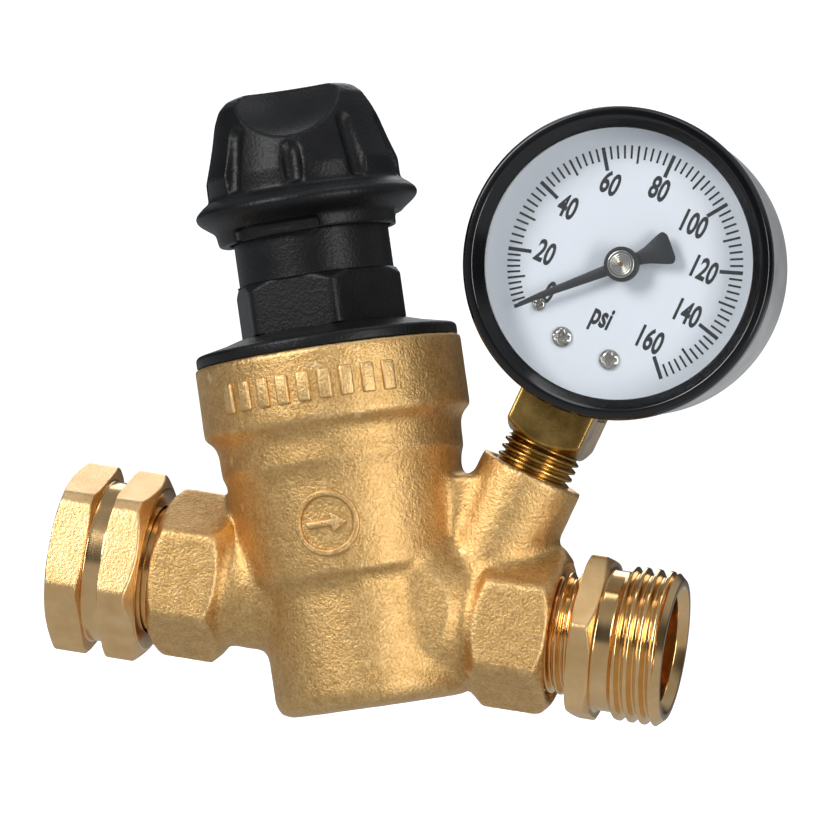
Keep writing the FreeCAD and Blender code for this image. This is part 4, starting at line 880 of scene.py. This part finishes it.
@dataclass
class Casting:
    """The cast valve body: slanted barrel, bosses, web and port, with its raised ring, arrow and bars."""

    voxel: float = 0.48
    fillet_rounds: int = 56
    waist: tuple[float, float, float, float] = (4.2, 19.3, 23.0, 20.5)
    cup_r: float = 23.4
    cup_z: tuple[float, float] = (33.0, 42.0)
    ledge_z: float = 28.0
    ledge_r: float = 20.6
    relief: float = 0.62
    ring_z: float = 13.7
    ring_r: float = 5.15
    ring_width: float = 0.95
    bars: int = 9
    bar_width: float = 2.3
    bar_z: tuple[float, float] = (34.8, 40.0)
    bar_spread: float = 74.0
    arrow: tuple[float, float, float] = (3.6, 0.55, 1.9)

    def build(self) -> None:
        """Wrap, fillet and roughen the casting, and raise its marks."""
        skin = Moulding("valve_body", LAYOUT.barrel, self.voxel)
        self.clear_marks(skin)
        z = skin.co[:, 2]
        radius = np.hypot(skin.co[:, 0], skin.co[:, 1])
        machined = (z > self.ledge_z) & (radius < self.ledge_r)
        skin.ease_edges(2)
        skin.fill_corners(self.fillet_rounds, np.where(machined, 0.0, 1.0))
        skin.ease_edges(2)
        skin.roughen(0.045, 2.2)
        skin.show("body_casting", "valve", "cast_brass")
        show(joined(self.ring(), self.flow_arrow(), *self.cup_bars()), "body_marks", LAYOUT.barrel, "valve",
             "cast_brass", shade=Shade.SOFT)

    def radius_at(self, z: float) -> float:
        """The barrel's radius at a height, on the waist or on the cup."""
        low, low_r, high, high_r = self.waist
        return self.cup_r if z > high else low_r + (high_r - low_r) * (z - low) / (high - low)

    def clear_marks(self, skin: Moulding) -> None:
        """Press the skin's own marks flat, because they are raised again with finer edges.

        Args:
            skin: the body's skin.
        """
        x, y, z = skin.co.T
        radius = np.hypot(x, y)
        low, low_r, high, high_r = self.waist
        waist_r = low_r + (high_r - low_r) * (z - low) / (high - low)
        on_waist = (np.hypot(x, z - self.ring_z) < self.ring_r + 2) & (y < 0) & (radius > waist_r)
        on_cup = (z > self.cup_z[0]) & (z < self.cup_z[1]) & (radius > self.cup_r)
        limit = np.where(on_waist, waist_r, np.where(on_cup, self.cup_r, radius))
        skin.co[:, :2] *= (limit / np.maximum(radius, 1e-6))[:, None]

    def wrap(self, mesh: bmesh.types.BMesh, every: float = 0.5) -> bmesh.types.BMesh:
        """Bend a flat mark round the front of the barrel.

        Args:
            mesh: the mark, with x across, y along the barrel and z outwards.
            every: how far apart it is divided.

        Returns:
            The bent mark.
        """
        reach = max(abs(vert.co.x) for vert in mesh.verts)
        for k in range(-int(reach / every), int(reach / every) + 1):
            bmesh.ops.bisect_plane(mesh, geom=mesh.verts[:] + mesh.edges[:] + mesh.faces[:], dist=1e-5,
                                   plane_co=(k * every, 0, 0), plane_no=(1, 0, 0))
        for vert in mesh.verts:
            across, along, out = vert.co
            base = self.radius_at(along)
            turn = across / base
            vert.co = ((base + out) * math.sin(turn), -(base + out) * math.cos(turn), along)
        return mesh

    def ring(self) -> bmesh.types.BMesh:
        """Turn the raised ring and bend it on the barrel.

        Returns:
            The ring.
        """
        half = self.ring_width / 2
        mesh = turned([
            Corner(self.ring_r - half - 0.15, -0.4), Corner(self.ring_r - half, self.relief, 0.3),
            Corner(self.ring_r + half, self.relief, 0.3), Corner(self.ring_r + half + 0.15, -0.4)], steps=96)
        bmesh.ops.translate(mesh, verts=mesh.verts, vec=(0, self.ring_z, 0))
        return self.wrap(mesh, 20.0)

    def flow_arrow(self) -> bmesh.types.BMesh:
        """Cut the arrow that shows which way the water flows.

        Returns:
            The arrow.
        """
        reach, shaft, barb = self.arrow
        neck = reach - 1.5 * barb
        half = [Corner(reach, 0.0, 0.3), Corner(neck, barb, 0.25), Corner(neck, shaft, 0.2),
                Corner(-reach, shaft, 0.25)]
        other = [Corner(c.r, -c.z, c.fillet) for c in reversed(half[1:])]
        mesh = sheet(half + other, -0.4, self.relief, 0.22)
        bmesh.ops.translate(mesh, verts=mesh.verts, vec=(0, self.ring_z, 0))
        return self.wrap(mesh)

    def cup_bars(self) -> list[bmesh.types.BMesh]:
        """Raise the row of plain bars round the cup.

        Returns:
            The bars.
        """
        low, high = self.bar_z
        half = self.bar_width / 2
        made = []
        for i in range(self.bars):
            middle = self.cup_r * math.radians(self.bar_spread) * (i / (self.bars - 1) - 0.5)
            made.append(self.wrap(block((middle - half, middle + half), (low, high), (-0.4, self.relief), 0.42)))
        return made


@dataclass
class Knob:
    """The moulded adjusting knob."""

    voxel: float = 0.32

    def build(self) -> None:
        """Wrap the knob and ease its edges."""
        skin = Moulding("adjusting_knob", LAYOUT.barrel, self.voxel)
        skin.ease_edges(4)
        skin.fill_corners(4, np.ones(len(skin.co)))
        skin.show("knob_moulding", "knob", "black_nylon")


# ---------------------------------------------------------------- bonnet


@dataclass
class Bonnet:
    """The nylon bonnet that screws into the cup, with its flange, hexagon and neck."""

    skirt_z: float = 33.5
    skirt_r: float = 19.96
    rim_z: float = 44.0
    flange_r: float = 23.0
    neck_r: float = 13.6
    hex_across: float = 27.1
    hex_r: float = 15.4
    hex_z: tuple[float, float] = (48.0, 57.0)
    hex_turn: float = 322.0
    top_z: float = 66.0
    bore_r: float = 11.0
    bore_top: float = 62.3
    key_r: float = 12.3
    key_half: float = 2.0

    def build(self) -> None:
        """Turn the bonnet, mill its hexagon and cut the keyways."""
        low, high = self.hex_z
        rim = self.rim_z
        room = self.skirt_r - 3.0
        row = 0.35
        mesh = turned([
            Corner(room, self.skirt_z), Corner(self.skirt_r, self.skirt_z, 0.2), Corner(self.skirt_r, rim, 0, 1.0),
            Corner(self.flange_r, rim, 0.3), Corner(self.flange_r, rim + 2.0, 0.9),
            Corner(18.0, rim + 3.1, 3.0, 0.6), Corner(self.neck_r, rim + 4.4, 1.2, 0.6),
            Corner(self.neck_r, low, 0.15, row), Corner(self.hex_r, low, 0.3, row), Corner(self.hex_r, high - 1.3, 0.4, row),
            Corner(self.neck_r + 0.5, high, 0.3, row), Corner(self.neck_r, high + 0.2, 0.1), Corner(self.neck_r, self.top_z, 0.4, 1.0), Corner(4.1, self.top_z),
            Corner(4.1, self.bore_top), Corner(self.bore_r, self.bore_top, 0.4), Corner(self.bore_r, self.skirt_z + 9.5, 0, 0.6),
            Corner(room, self.skirt_z + 6.5)], steps=288)
        for vert in mesh.verts:
            if abs(vert.co.xy.length - self.bore_r) < 0.05 and abs(vert.co.y) < self.key_half:
                vert.co.x = math.copysign(self.key_r, vert.co.x)
        mill_flats(mesh, self.hex_across, self.hex_turn, low - 0.01, high + 0.01, rounding=0.45)
        show(mesh, "bonnet_moulding", LAYOUT.barrel, "valve", "black_nylon", replaces=["bonnet"])


# ---------------------------------------------------------------- inlet


@dataclass
class Inlet:
    """The swivel nut and the woven screen in its washer."""

    length: float = 16.3
    across: float = 30.0
    corner_across: float = 33.4
    flat_turn: float = 260.6
    groove: tuple[float, float] = (6.4, 9.7)
    groove_r: float = 14.1
    minor_r: float = 12.25
    pitch: float = 2.209
    recess: tuple[float, float, float] = (6.5, 12.4, 12.9)
    lip_r: float = 11.25
    screen_z: float = 8.2
    screen_r: float = 8.8

    def build(self) -> None:
        """Build the nut and the screen."""
        self.nut()
        self.screen()

    def nut(self) -> None:
        """Turn the nut, mill its flats and cut the hose thread in its mouth."""
        corner = self.corner_across / math.sqrt(3) + 0.1
        g0, g1 = self.groove
        end = self.length
        row = 0.32
        r0, r1, recess_r = self.recess
        mesh = turned([
            Corner(self.minor_r + 1.3, 0, 0.15), Corner(14.9, 0, 0.4, row), Corner(corner, 1.6, 0.5, row),
            Corner(corner, g0 - 1.2, 0.5, row), Corner(16.0, g0 - 0.1, 0.3, row), Corner(self.groove_r, g0, 0.35, row),
            Corner(self.groove_r, g1, 0.35, row), Corner(16.0, g1 + 0.1, 0.3, row), Corner(corner, g1 + 1.2, 0.5, row),
            Corner(corner, end - 3.2, 0.8, row), Corner(14.2, end, 0.3, row), Corner(self.lip_r, end, 0.2),
            Corner(self.lip_r, r1, 0.1), Corner(recess_r, r1), Corner(recess_r, r0), Corner(self.minor_r, r0),
            Corner(self.minor_r, 0.9, 0, self.pitch / 15)], steps=288)
        mill_flats(mesh, self.across, self.flat_turn, -0.1, end + 0.1, rounding=0.3)
        mill_flats(mesh, self.corner_across, self.flat_turn + 30, -0.1, end + 0.1, rounding=0.3)
        Thread(self.minor_r, 1.2, self.pitch, 0.9, r0, 0.5, inside=True).cut(mesh)
        show(mesh, "swivel_nut_turned", LAYOUT.flow, "swivel_nut", "polished_brass", "nut_brass",
             replaces=["swivel_nut"])

    def screen(self) -> None:
        """Weave the cone of the filter screen and hold it in a bead."""
        base = self.screen_z
        cone = turned([Corner(7.2, base + 0.5), Corner(4.0, base + 6.6, 1.5, 0.8), Corner(0.5, base + 7.2, 0, 0.8)],
                      closed=False, steps=48)
        bmesh.ops.wireframe(cone, faces=cone.faces, thickness=0.14, use_replace=True, use_even_offset=True)
        bead = turned([Corner(self.screen_r, base, 0.1), Corner(self.screen_r, base + 0.5, 0.1),
                       Corner(7.0, base + 0.5, 0.1), Corner(7.0, base, 0.1)], steps=96)
        show(joined(cone, bead), "woven_screen", LAYOUT.flow, "valve", "stainless", replaces=["filter_screen"])


# ---------------------------------------------------------------- outlet


@dataclass
class Nipple:
    """The outlet nipple: pipe thread, hexagon, plain collar, male hose thread and bore."""

    face: float = 89.1
    depth: float = 9.0
    socket_r: float = 10.36
    pipe_r: float = 10.67
    pipe_pitch: float = 1.814
    hexagon: tuple[float, float] = (93.1, 97.1)
    across: float = 27.2
    flat_turn: float = 52.5
    collar_r: float = 12.3
    collar_end: float = 100.2
    thread_r: float = 13.495
    root_depth: float = 1.2
    pitch: float = 2.209
    end: float = 109.4
    bore_r: float = 9.8
    bore_z: float = 97.6
    small_bore_r: float = 7.9

    def build(self) -> None:
        """Turn the nipple, mill its hexagon and cut both threads."""
        low, high = self.hexagon
        start = self.face - self.depth
        row, fine, coarse = 0.3, self.pipe_pitch / 14, self.pitch / 16
        mesh = turned([
            Corner(self.small_bore_r, start), Corner(self.socket_r, start, 0.2), Corner(self.socket_r, self.face - 1.5),
            Corner(self.pipe_r, self.face - 1.2), Corner(self.pipe_r, low, 0.1, fine), Corner(14.4, low, 0.3, row),
            Corner(15.7, low + 0.6, 0.3, row), Corner(15.7, high - 0.9, 0.4, row), Corner(13.9, high, 0.3, row),
            Corner(self.collar_r, high, 0.5, row), Corner(self.collar_r, self.collar_end, 0.6, row),
            Corner(self.thread_r, self.collar_end + 0.8, 0.1), Corner(self.thread_r, self.end - 1.3, 0.2, coarse),
            Corner(12.3, self.end, 0.25, 0.2), Corner(self.bore_r + 1.3, self.end, 0.3), Corner(self.bore_r, self.end - 1.6, 0.3),
            Corner(self.bore_r, self.bore_z, 0.3, 1.0), Corner(self.small_bore_r, self.bore_z - 1.9, 0.3)], steps=288)
        mill_flats(mesh, self.across, self.flat_turn, low - 0.01, high + 0.01)
        Thread(self.pipe_r, 1.0, self.pipe_pitch, self.face - 1.2, low - 0.1, 0.3).cut(mesh)
        Thread(self.thread_r, self.root_depth, self.pitch, self.collar_end + 0.5, self.end + 0.8, 1.0).cut(mesh)
        show(mesh, "hose_nipple", LAYOUT.flow, "valve", "polished_brass", "nipple_brass",
             replaces=["outlet_nipple"], shade=Shade.THREADED)


# ---------------------------------------------------------------- gauge


@dataclass
class GaugeStem:
    """The gauge's socket: pipe thread, square shank, and the block inside the case."""

    thread_r: float = 6.85
    plain_r: float = 6.38
    pitch: float = 1.411
    bottom: float = -8.0
    shank_z: float = 5.2
    shank_half: float = 7.0
    shank_top: float = 15.4
    case_centre: float = 39.5
    case_r: float = 25.5
    block_z: tuple[float, float] = (12.4, 25.3)
    block_depth: tuple[float, float] = (-3.0, 5.5)
    bore_r: float = 1.2

    def build(self) -> None:
        """Turn the stem, mill its square and cut the pipe thread."""
        row = 0.35
        half, shank = self.shank_half, self.shank_z
        outer = half * math.sqrt(2) - 0.1
        stem = turned([
            Corner(self.bore_r, self.bottom), Corner(self.plain_r, self.bottom, 0.2), Corner(self.plain_r, -0.5),
            Corner(self.thread_r, -0.3), Corner(self.thread_r, shank - 0.9, 0, self.pitch / 14),
            Corner(6.1, shank - 0.4, 0.2, 0.15), Corner(6.1, shank, 0.1, 0.2), Corner(6.7, shank, 0.2, row),
            Corner(outer, shank + 2.1, 0.6, row), Corner(outer, self.shank_top, 0, row),
            Corner(self.bore_r, self.shank_top)], steps=240)
        mill_flats(stem, 2 * half, 0, shank, self.shank_top + 0.1, count=4, rounding=0.4)
        Thread(self.thread_r, 0.95, self.pitch, -0.3, shank - 0.6, 0.4, crest_share=0.28).cut(stem)
        for vert in stem.verts:
            case = self.case_centre - math.sqrt(self.case_r ** 2 - vert.co.x ** 2)
            vert.co.z = min(vert.co.z, case)
        island = block((-half, half), self.block_depth, self.block_z, 0.4)
        show(joined(stem, island), "gauge_stem", LAYOUT.port, "valve", "polished_brass", "stem_brass",
             replaces=["gauge_socket"], shade=Shade.THREADED)


@dataclass
class GaugeHead:
    """The gauge's case, bezel and window."""

    case_r: float = 25.6
    wall: float = 0.9
    back: float = -15.5
    front: float = 10.8
    bezel_r: float = 27.0
    bezel: tuple[float, float] = (9.8, 13.2)
    opening_r: float = 23.4
    window: tuple[float, float] = (9.4, 10.8)
    window_r: float = 24.6
    dial: tuple[float, float] = (4.1, 4.6)
    dial_r: float = 24.5
    dial_hole_r: float = 1.6

    def build(self) -> None:
        """Turn the case, the bezel, the window and the dial."""
        self.case()
        self.rim()
        self.glass()
        self.face()

    def face(self) -> None:
        """Turn the dial, which reaches the case's wall."""
        low, high = self.dial
        mesh = turned([Corner(self.dial_hole_r, low), Corner(self.dial_r, low, 0.1), Corner(self.dial_r, high, 0.15),
                       Corner(self.dial_hole_r, high, 0.05)], steps=192)
        show(mesh, "dial_disc", LAYOUT.dial, "valve", "white_dial", replaces=["gauge_dial"])

    def case(self) -> None:
        """Turn the drawn case, with a bead near its back and the lip under the window."""
        r, w = self.case_r, self.wall
        back, front = self.back, self.front
        inner = r - w
        lip = self.window[0] - 0.2
        mesh = turned([
            Corner(0, back + 0.5), Corner(9.0, back + 0.5, 0.3, 1.5), Corner(9.6, back, 0.3), Corner(r, back, 2.4, 1.5),
            Corner(r, front, 0, 1.2), Corner(inner, front), Corner(inner, lip), Corner(self.opening_r + 0.2, lip, 0.1),
            Corner(self.opening_r + 0.2, lip - 0.7, 0.1), Corner(inner, lip - 0.7), Corner(inner, back + w, 1.6, 2.0),
            Corner(0, back + w + 0.4)], closed=False, steps=256)
        show(mesh, "drawn_case", LAYOUT.dial, "valve", "steel_case", replaces=["gauge_case"])

    def rim(self) -> None:
        """Turn the black bezel, with its rolled edge and sloping face."""
        low, high = self.bezel
        r = self.bezel_r
        seat = self.window[1]
        mesh = turned([
            Corner(self.case_r, low, 0.1), Corner(r - 0.1, low, 0.2), Corner(r, low + 0.6, 0.3),
            Corner(r, high - 0.9, 0.3, 0.5), Corner(r - 0.45, high - 0.1, 0.4), Corner(r - 1.7, high, 0.5),
            Corner(self.opening_r, seat + 0.4, 0.25, 0.5), Corner(self.opening_r, seat), Corner(self.case_r, seat)],
            steps=256)
        show(mesh, "bezel_ring", LAYOUT.dial, "valve", "black_bezel", replaces=["gauge_bezel"])

    def glass(self) -> None:
        """Turn the window, a disc with eased edges."""
        low, high = self.window
        mesh = turned([Corner(0, low), Corner(self.window_r, low, 0.15, 4.0), Corner(self.window_r, high - 0.02, 0.15),
                       Corner(0, high - 0.02, 0, 4.0)], closed=False, steps=128)
        show(mesh, "window_disc", LAYOUT.dial, "valve", "clear_window", replaces=["gauge_window"])


@dataclass(frozen=True)
class TickKind:
    """One length of the dial's graduations."""

    every: int
    length: float
    width: float


@dataclass
class DialPrint:
    """What is printed on the dial: graduations, figures and the unit."""

    surface: float = 4.6
    thickness: float = 0.02
    full_scale: int = 160
    turns: tuple[float, ...] = (225.5, 197.0, 161.0, 126.2, 90.8, 55.6, 21.2, -12.8, -46.5)
    tick_r: float = 20.7
    ticks: tuple[TickKind, ...] = (TickKind(20, 4.1, 0.66), TickKind(10, 3.1, 0.4), TickKind(2, 2.3, 0.36))
    figure_r: float = 14.2
    figure_size: float = 5.4
    figure_squeeze: float = 0.6
    figure_weight: float = 0.12
    unit_v: float = -9.8
    unit_u: float = 0.3

    def turn_of(self, value: float) -> float:
        """The direction of a reading, in radians from u."""
        step = self.ticks[0].every
        low = min(int(value // step), len(self.turns) - 2)
        share = value / step - low
        return math.radians(self.turns[low] * (1 - share) + self.turns[low + 1] * share)

    def build(self) -> None:
        """Draw the graduations and set the figures."""
        marks = [self.tick(value) for value in range(0, self.full_scale + 1, self.ticks[-1].every)]
        show(joined(*marks), "dial_graduations", LAYOUT.dial, "valve", "black_pointer", "dial_ink")
        for value in range(0, self.full_scale + 1, self.ticks[0].every):
            turn = self.turn_of(value)
            reach = self.figure_r - (0.5 if value >= 100 else 0.0)
            self.figure(str(value), reach * math.cos(turn), reach * math.sin(turn), self.figure_size)
        self.figure("psi", self.unit_u, self.unit_v, self.figure_size)

    def tick(self, value: int) -> bmesh.types.BMesh:
        """Draw one graduation.

        Args:
            value: its reading.

        Returns:
            A thin bar that points at the dial's centre.
        """
        kind = next(k for k in self.ticks if value % k.every == 0)
        half = kind.width / 2
        mesh = block((self.tick_r - kind.length, self.tick_r), (-half, half),
                     (self.surface + 0.005, self.surface + self.thickness), 0)
        bmesh.ops.rotate(mesh, verts=mesh.verts, cent=(0, 0, 0), matrix=Matrix.Rotation(self.turn_of(value), 3, "Z"))
        return mesh

    def figure(self, text: str, u: float, v: float, size: float) -> None:
        """Print a word on the dial.

        Args:
            text: the word.
            u: the place of its middle, to the right.
            v: and upwards.
            size: the letters' size.
        """
        curve = bpy.data.curves.new("print_" + text, "FONT")
        curve.body = text
        curve.size = size
        curve.align_x = "CENTER"
        curve.align_y = "CENTER"
        curve.offset = self.figure_weight * size / 4
        curve.extrude = self.thickness / 2
        curve.space_character = 1.02
        holder = bpy.data.objects.new("print_" + text, curve)
        bpy.context.scene.collection.objects.link(holder)
        bpy.context.view_layer.update()
        ready = holder.evaluated_get(bpy.context.evaluated_depsgraph_get())
        flat = bpy.data.meshes.new_from_object(ready)
        bpy.data.objects.remove(holder)
        mesh = bmesh.new()
        mesh.from_mesh(flat)
        bpy.data.meshes.remove(flat)
        bmesh.ops.remove_doubles(mesh, verts=mesh.verts, dist=1e-4)
        bmesh.ops.scale(mesh, verts=mesh.verts, vec=(self.figure_squeeze, 1, 1))
        bmesh.ops.translate(mesh, verts=mesh.verts, vec=(u, v, self.surface + self.thickness / 2 + 0.005))
        show(mesh, "print_" + text, LAYOUT.dial, "valve", "black_pointer", "dial_ink")


@dataclass
class DialScrews:
    """The two cross-headed screws of the dial, and the small pin that the pointer rests on."""

    surface: float = 4.6
    screws: tuple[tuple[float, float], ...] = ((-4.6, -15.9), (4.6, -15.9))
    head_r: float = 1.8
    head_high: float = 0.88
    stop: tuple[float, float] = (-10.7, -12.5)
    stop_r: float = 1.2

    def build(self) -> None:
        """Build the screws and the pin."""
        heads = [self.head(u, v, self.head_r, self.head_high) for u, v in self.screws]
        show(joined(*heads), "dial_screw_heads", LAYOUT.dial, "valve", "stainless", "screw_steel",
             replaces=["dial_screws"], shade=Shade.SOFT)
        show(self.head(*self.stop, self.stop_r, self.head_high * 0.95), "stop_pin", LAYOUT.dial, "valve",
             "stainless", "screw_steel", replaces=["stop_screw"], shade=Shade.SOFT)

    def head(self, u: float, v: float, radius: float, high: float) -> bmesh.types.BMesh:
        """Turn a pan head and press its cross.

        Args:
            u: its place to the right.
            v: its place upwards.
            radius: the head's radius.
            high: its height.

        Returns:
            The head with its shank below the dial.
        """
        mesh = turned([
            Corner(0, -4.0), Corner(0.55 * radius, -4.0), Corner(0.55 * radius, 0), Corner(radius, 0, 0.08),
            Corner(radius, 0.45 * high, 0.3 * high), Corner(0.62 * radius, high, 0.6 * high),
            Corner(0, high, 0, radius / 22)], closed=False, steps=96)
        arm, half = 0.72 * radius, 0.2 * radius
        for vert in mesh.verts:
            if vert.co.z < 0.5 * high:
                continue
            x, y = abs(vert.co.x), abs(vert.co.y)
            along, across = max(x, y), min(x, y)
            inside = smooth_step((arm - along) / (0.3 * radius)) * smooth_step((half * 1.5 - across) / half)
            vert.co.z -= 0.8 * high * inside
        bmesh.ops.rotate(mesh, verts=mesh.verts, cent=(0, 0, 0), matrix=Matrix.Rotation(math.radians(20), 3, "Z"))
        bmesh.ops.translate(mesh, verts=mesh.verts, vec=(u, v, self.surface))
        return mesh


@dataclass
class Pointer:
    """The pointer with its hub and its turned cap."""

    turn: float = 225.5
    tip: float = 19.5
    tail: float = 9.2
    tail_half: float = 3.0
    z: tuple[float, float] = (6.6, 7.0)
    hub_r: float = 3.05
    cap_r: float = 2.4

    def build(self) -> None:
        """Cut the blade and turn the hub and cap."""
        low, high = self.z
        half_blade = [
            Corner(self.tip, 0.2, 0.1), Corner(15.5, 0.55, 4.0), Corner(2.6, 0.98), Corner(-2.6, 1.05, 0.8),
            Corner(-4.6, 1.5, 4.0), Corner(-self.tail + 1.9, self.tail_half - 0.35, 1.2),
            Corner(-self.tail + 0.75, self.tail_half, 0.7), Corner(-self.tail + 0.1, self.tail_half - 0.9, 1.0)]
        other = [Corner(c.r, -c.z, c.fillet) for c in reversed(half_blade)]
        blade = sheet(half_blade + other, low, high, 0.08)
        disc = turned([Corner(0, low), Corner(2.7, low, 0.05), Corner(2.7, high, 0.05), Corner(0, high)],
                      closed=False, steps=96)
        whole = joined(blade, disc)
        bmesh.ops.rotate(whole, verts=whole.verts, cent=(0, 0, 0),
                         matrix=Matrix.Rotation(math.radians(self.turn), 3, "Z"))
        show(whole, "pointer_blade", LAYOUT.dial, "pointer", "black_pointer", replaces=["pointer"])
        hub = turned([Corner(0.8, high), Corner(self.hub_r, high, 0.1), Corner(self.hub_r, high + 1.4, 0.35),
                      Corner(self.cap_r + 0.02, high + 1.4, 0.08), Corner(self.cap_r + 0.02, high + 0.8),
                      Corner(0.8, high + 0.8)], steps=128)
        show(hub, "pointer_boss", LAYOUT.dial, "pointer", "black_pointer", replaces=["pointer_hub"])
        top = high + 1.75
        ring = self.cap_r / 5
        corners = [Corner(0.45, high + 0.8), Corner(self.cap_r, high + 0.8), Corner(self.cap_r, top, 0.3)]
        for i in range(1, 5):
            r = self.cap_r - 0.25 - ring * i * 0.8
            corners += [Corner(r + 0.12, top, 0.03), Corner(r, top - 0.06, 0.05), Corner(r - 0.12, top, 0.03)]
        corners.append(Corner(0.45, top, 0.08))
        show(turned(corners, steps=128), "pointer_cap_turned", LAYOUT.dial, "pointer", "stainless", "screw_steel",
             replaces=["pointer_cap"])


# ---------------------------------------------------------------- pieces that keep the frame's mesh


@dataclass
class KeptPieces:
    """Nodes of the frame that are shown as they are, each with its slot's finish."""

    slots: dict[str, str] = field(default_factory=dict)

    def build(self) -> None:
        """Give every node that is still shown the finish of its slot."""
        self.slots = {part["node"]: part["material_slot"] for part in frame["record"]["subparts"]}
        for name, node in frame["nodes"].items():
            if node.hide_render:
                continue
            material = SHELF.get(self.slots[name])
            if not node.material_slots:
                node.data.materials.append(material)
            for place in node.material_slots:
                place.material = material
            log.info("%s keeps its mesh, in %s", name, material.name)


# ---------------------------------------------------------------- studio


@dataclass
class Studio:
    """The sweep, the lights and the camera."""

    azimuth: float = 12.0
    elevation: float = 0.5
    roll: float = 8.5
    distance: float = 1.2
    lens: float = 299.0
    aim_right: float = 8.9
    aim_up: float = 32.7
    floor_drop: float = 0.05
    room_r: float = 2.7
    room_high: float = 2.2
    room_bend: float = 0.9
    paint_glow: float = 0.8
    room_light: tuple[tuple[float, str], ...] = (
        (0.0, "#B4B7BB"), (0.44, "#ACAFB3"), (0.5, "#4C4E52"), (0.66, "#404246"), (0.8, "#A4A8AE"),
        (1.0, "#8C9096"))

    def build(self) -> None:
        """Build all of it."""
        self.room()
        self.camera()
        self.world()
        self.lamp("key", Vector((-0.8, -1.05, 0.55)), (0.5, 0.7), 13.0)
        self.lamp("fill", Vector((0.95, -0.85, 0.1)), (0.3, 0.9), 8.0)
        self.lamp("back", Vector((-0.4, 1.2, 0.8)), (0.9, 0.7), 4.5)
        self.lamp("top", Vector((0.1, -0.1, 1.15)), (0.7, 0.4), 2.0)

    def room(self) -> None:
        """Turn a round floor that bends up into its wall all the way round."""
        floor_z = CAD_BOX[0].z - self.floor_drop
        mesh = turned([Corner(0, floor_z), Corner(self.room_r, floor_z, self.room_bend, 0.3),
                       Corner(self.room_r, floor_z + self.room_high)], closed=False, steps=96)
        data = bpy.data.meshes.new("studio_room")
        bmesh.ops.reverse_faces(mesh, faces=mesh.faces)
        mesh.to_mesh(data)
        mesh.free()
        data.shade_smooth()
        paint = SHELF.get("studio_white")
        shader = next(node for node in paint.node_tree.nodes if node.type == "BSDF_PRINCIPLED")
        shader.inputs["Emission Color"].default_value = linear("#FFFFFF")
        shader.inputs["Emission Strength"].default_value = self.paint_glow
        data.materials.append(paint)
        piece = bpy.data.objects.new("studio_room", data)
        piece.visible_glossy = piece.visible_diffuse = piece.visible_shadow = False
        bpy.context.scene.collection.objects.link(piece)

    def camera(self) -> None:
        """Set the camera square to its aim, rolled a little."""
        az, el, roll = (math.radians(a) for a in (self.azimuth, self.elevation, self.roll))
        back = Vector((math.sin(az) * math.cos(el), -math.cos(az) * math.cos(el), math.sin(el)))
        level = Vector((math.cos(az), math.sin(az), 0))
        rise = back.cross(level)
        right = level * math.cos(roll) + rise * math.sin(roll)
        up = back.cross(right)
        aim = LAYOUT.barrel.origin + (right * self.aim_right + up * self.aim_up) * MM
        data = bpy.data.cameras.new("camera")
        data.lens = self.lens
        data.sensor_width = 36
        data.clip_start = 0.05
        camera = bpy.data.objects.new("camera", data)
        camera.matrix_world = Matrix.Translation(aim + back * self.distance) @ Matrix(
            (right, up, back)).transposed().to_4x4()
        bpy.context.scene.collection.objects.link(camera)
        bpy.context.scene.camera = camera

    def world(self) -> None:
        """Light the room from its floor and its ceiling, with a dark band between them for the metal to mirror."""
        world = bpy.data.worlds.new("room")
        world.use_nodes = True
        tree = world.node_tree
        ground = tree.nodes["Background"]
        way = add_node(tree, "ShaderNodeTexCoord").outputs["Generated"]
        height = add_node(tree, "ShaderNodeSeparateXYZ", links={"Vector": way}).outputs["Z"]
        share = add_node(tree, "ShaderNodeMapRange", {"From Min": -1.0, "From Max": 1.0}, {"Value": height})
        ramp = add_node(tree, "ShaderNodeValToRGB", links={"Fac": share.outputs["Result"]})
        band = ramp.color_ramp
        while len(band.elements) < len(self.room_light):
            band.elements.new(0.5)
        for element, (where, colour) in zip(band.elements, self.room_light):
            element.position = where
            element.color = linear(colour)
        tree.links.new(ramp.outputs["Color"], ground.inputs["Color"])
        bpy.context.scene.world = world
        bpy.context.scene.view_settings.view_transform = "Standard"

    def lamp(self, name: str, where: Vector, size: tuple[float, float], power: float,
             aim: Vector | None = None) -> None:
        """Hang a soft light.

        Args:
            name: its name.
            where: its place, in metres from the valve's middle.
            size: its width and height.
            power: its power in watts.
            aim: what it points at, or the valve's middle.
        """
        middle = (CAD_BOX[0] + CAD_BOX[1]) / 2
        data = bpy.data.lights.new(name, "AREA")
        data.shape = "RECTANGLE"
        data.size, data.size_y = size
        data.energy = power
        lamp = bpy.data.objects.new(name, data)
        lamp.visible_camera = False
        target = middle if aim is None else middle + aim
        lamp.location = middle + where
        lamp.rotation_euler = (target - lamp.location).to_track_quat("-Z", "Y").to_euler()
        bpy.context.scene.collection.objects.link(lamp)


def main() -> None:
    """Build every sub-assembly in order, then the studio."""
    logging.basicConfig(level=logging.INFO, format="%(name)s %(message)s")
    builders: list[Callable[[], None]] = [
        Casting().build, Bonnet().build, Knob().build, Inlet().build, Nipple().build, GaugeStem().build,
        GaugeHead().build, DialPrint().build, DialScrews().build, Pointer().build, KeptPieces().build,
        Studio().build]
    for build in builders:
        build()


if __name__ == "__main__":
    main()
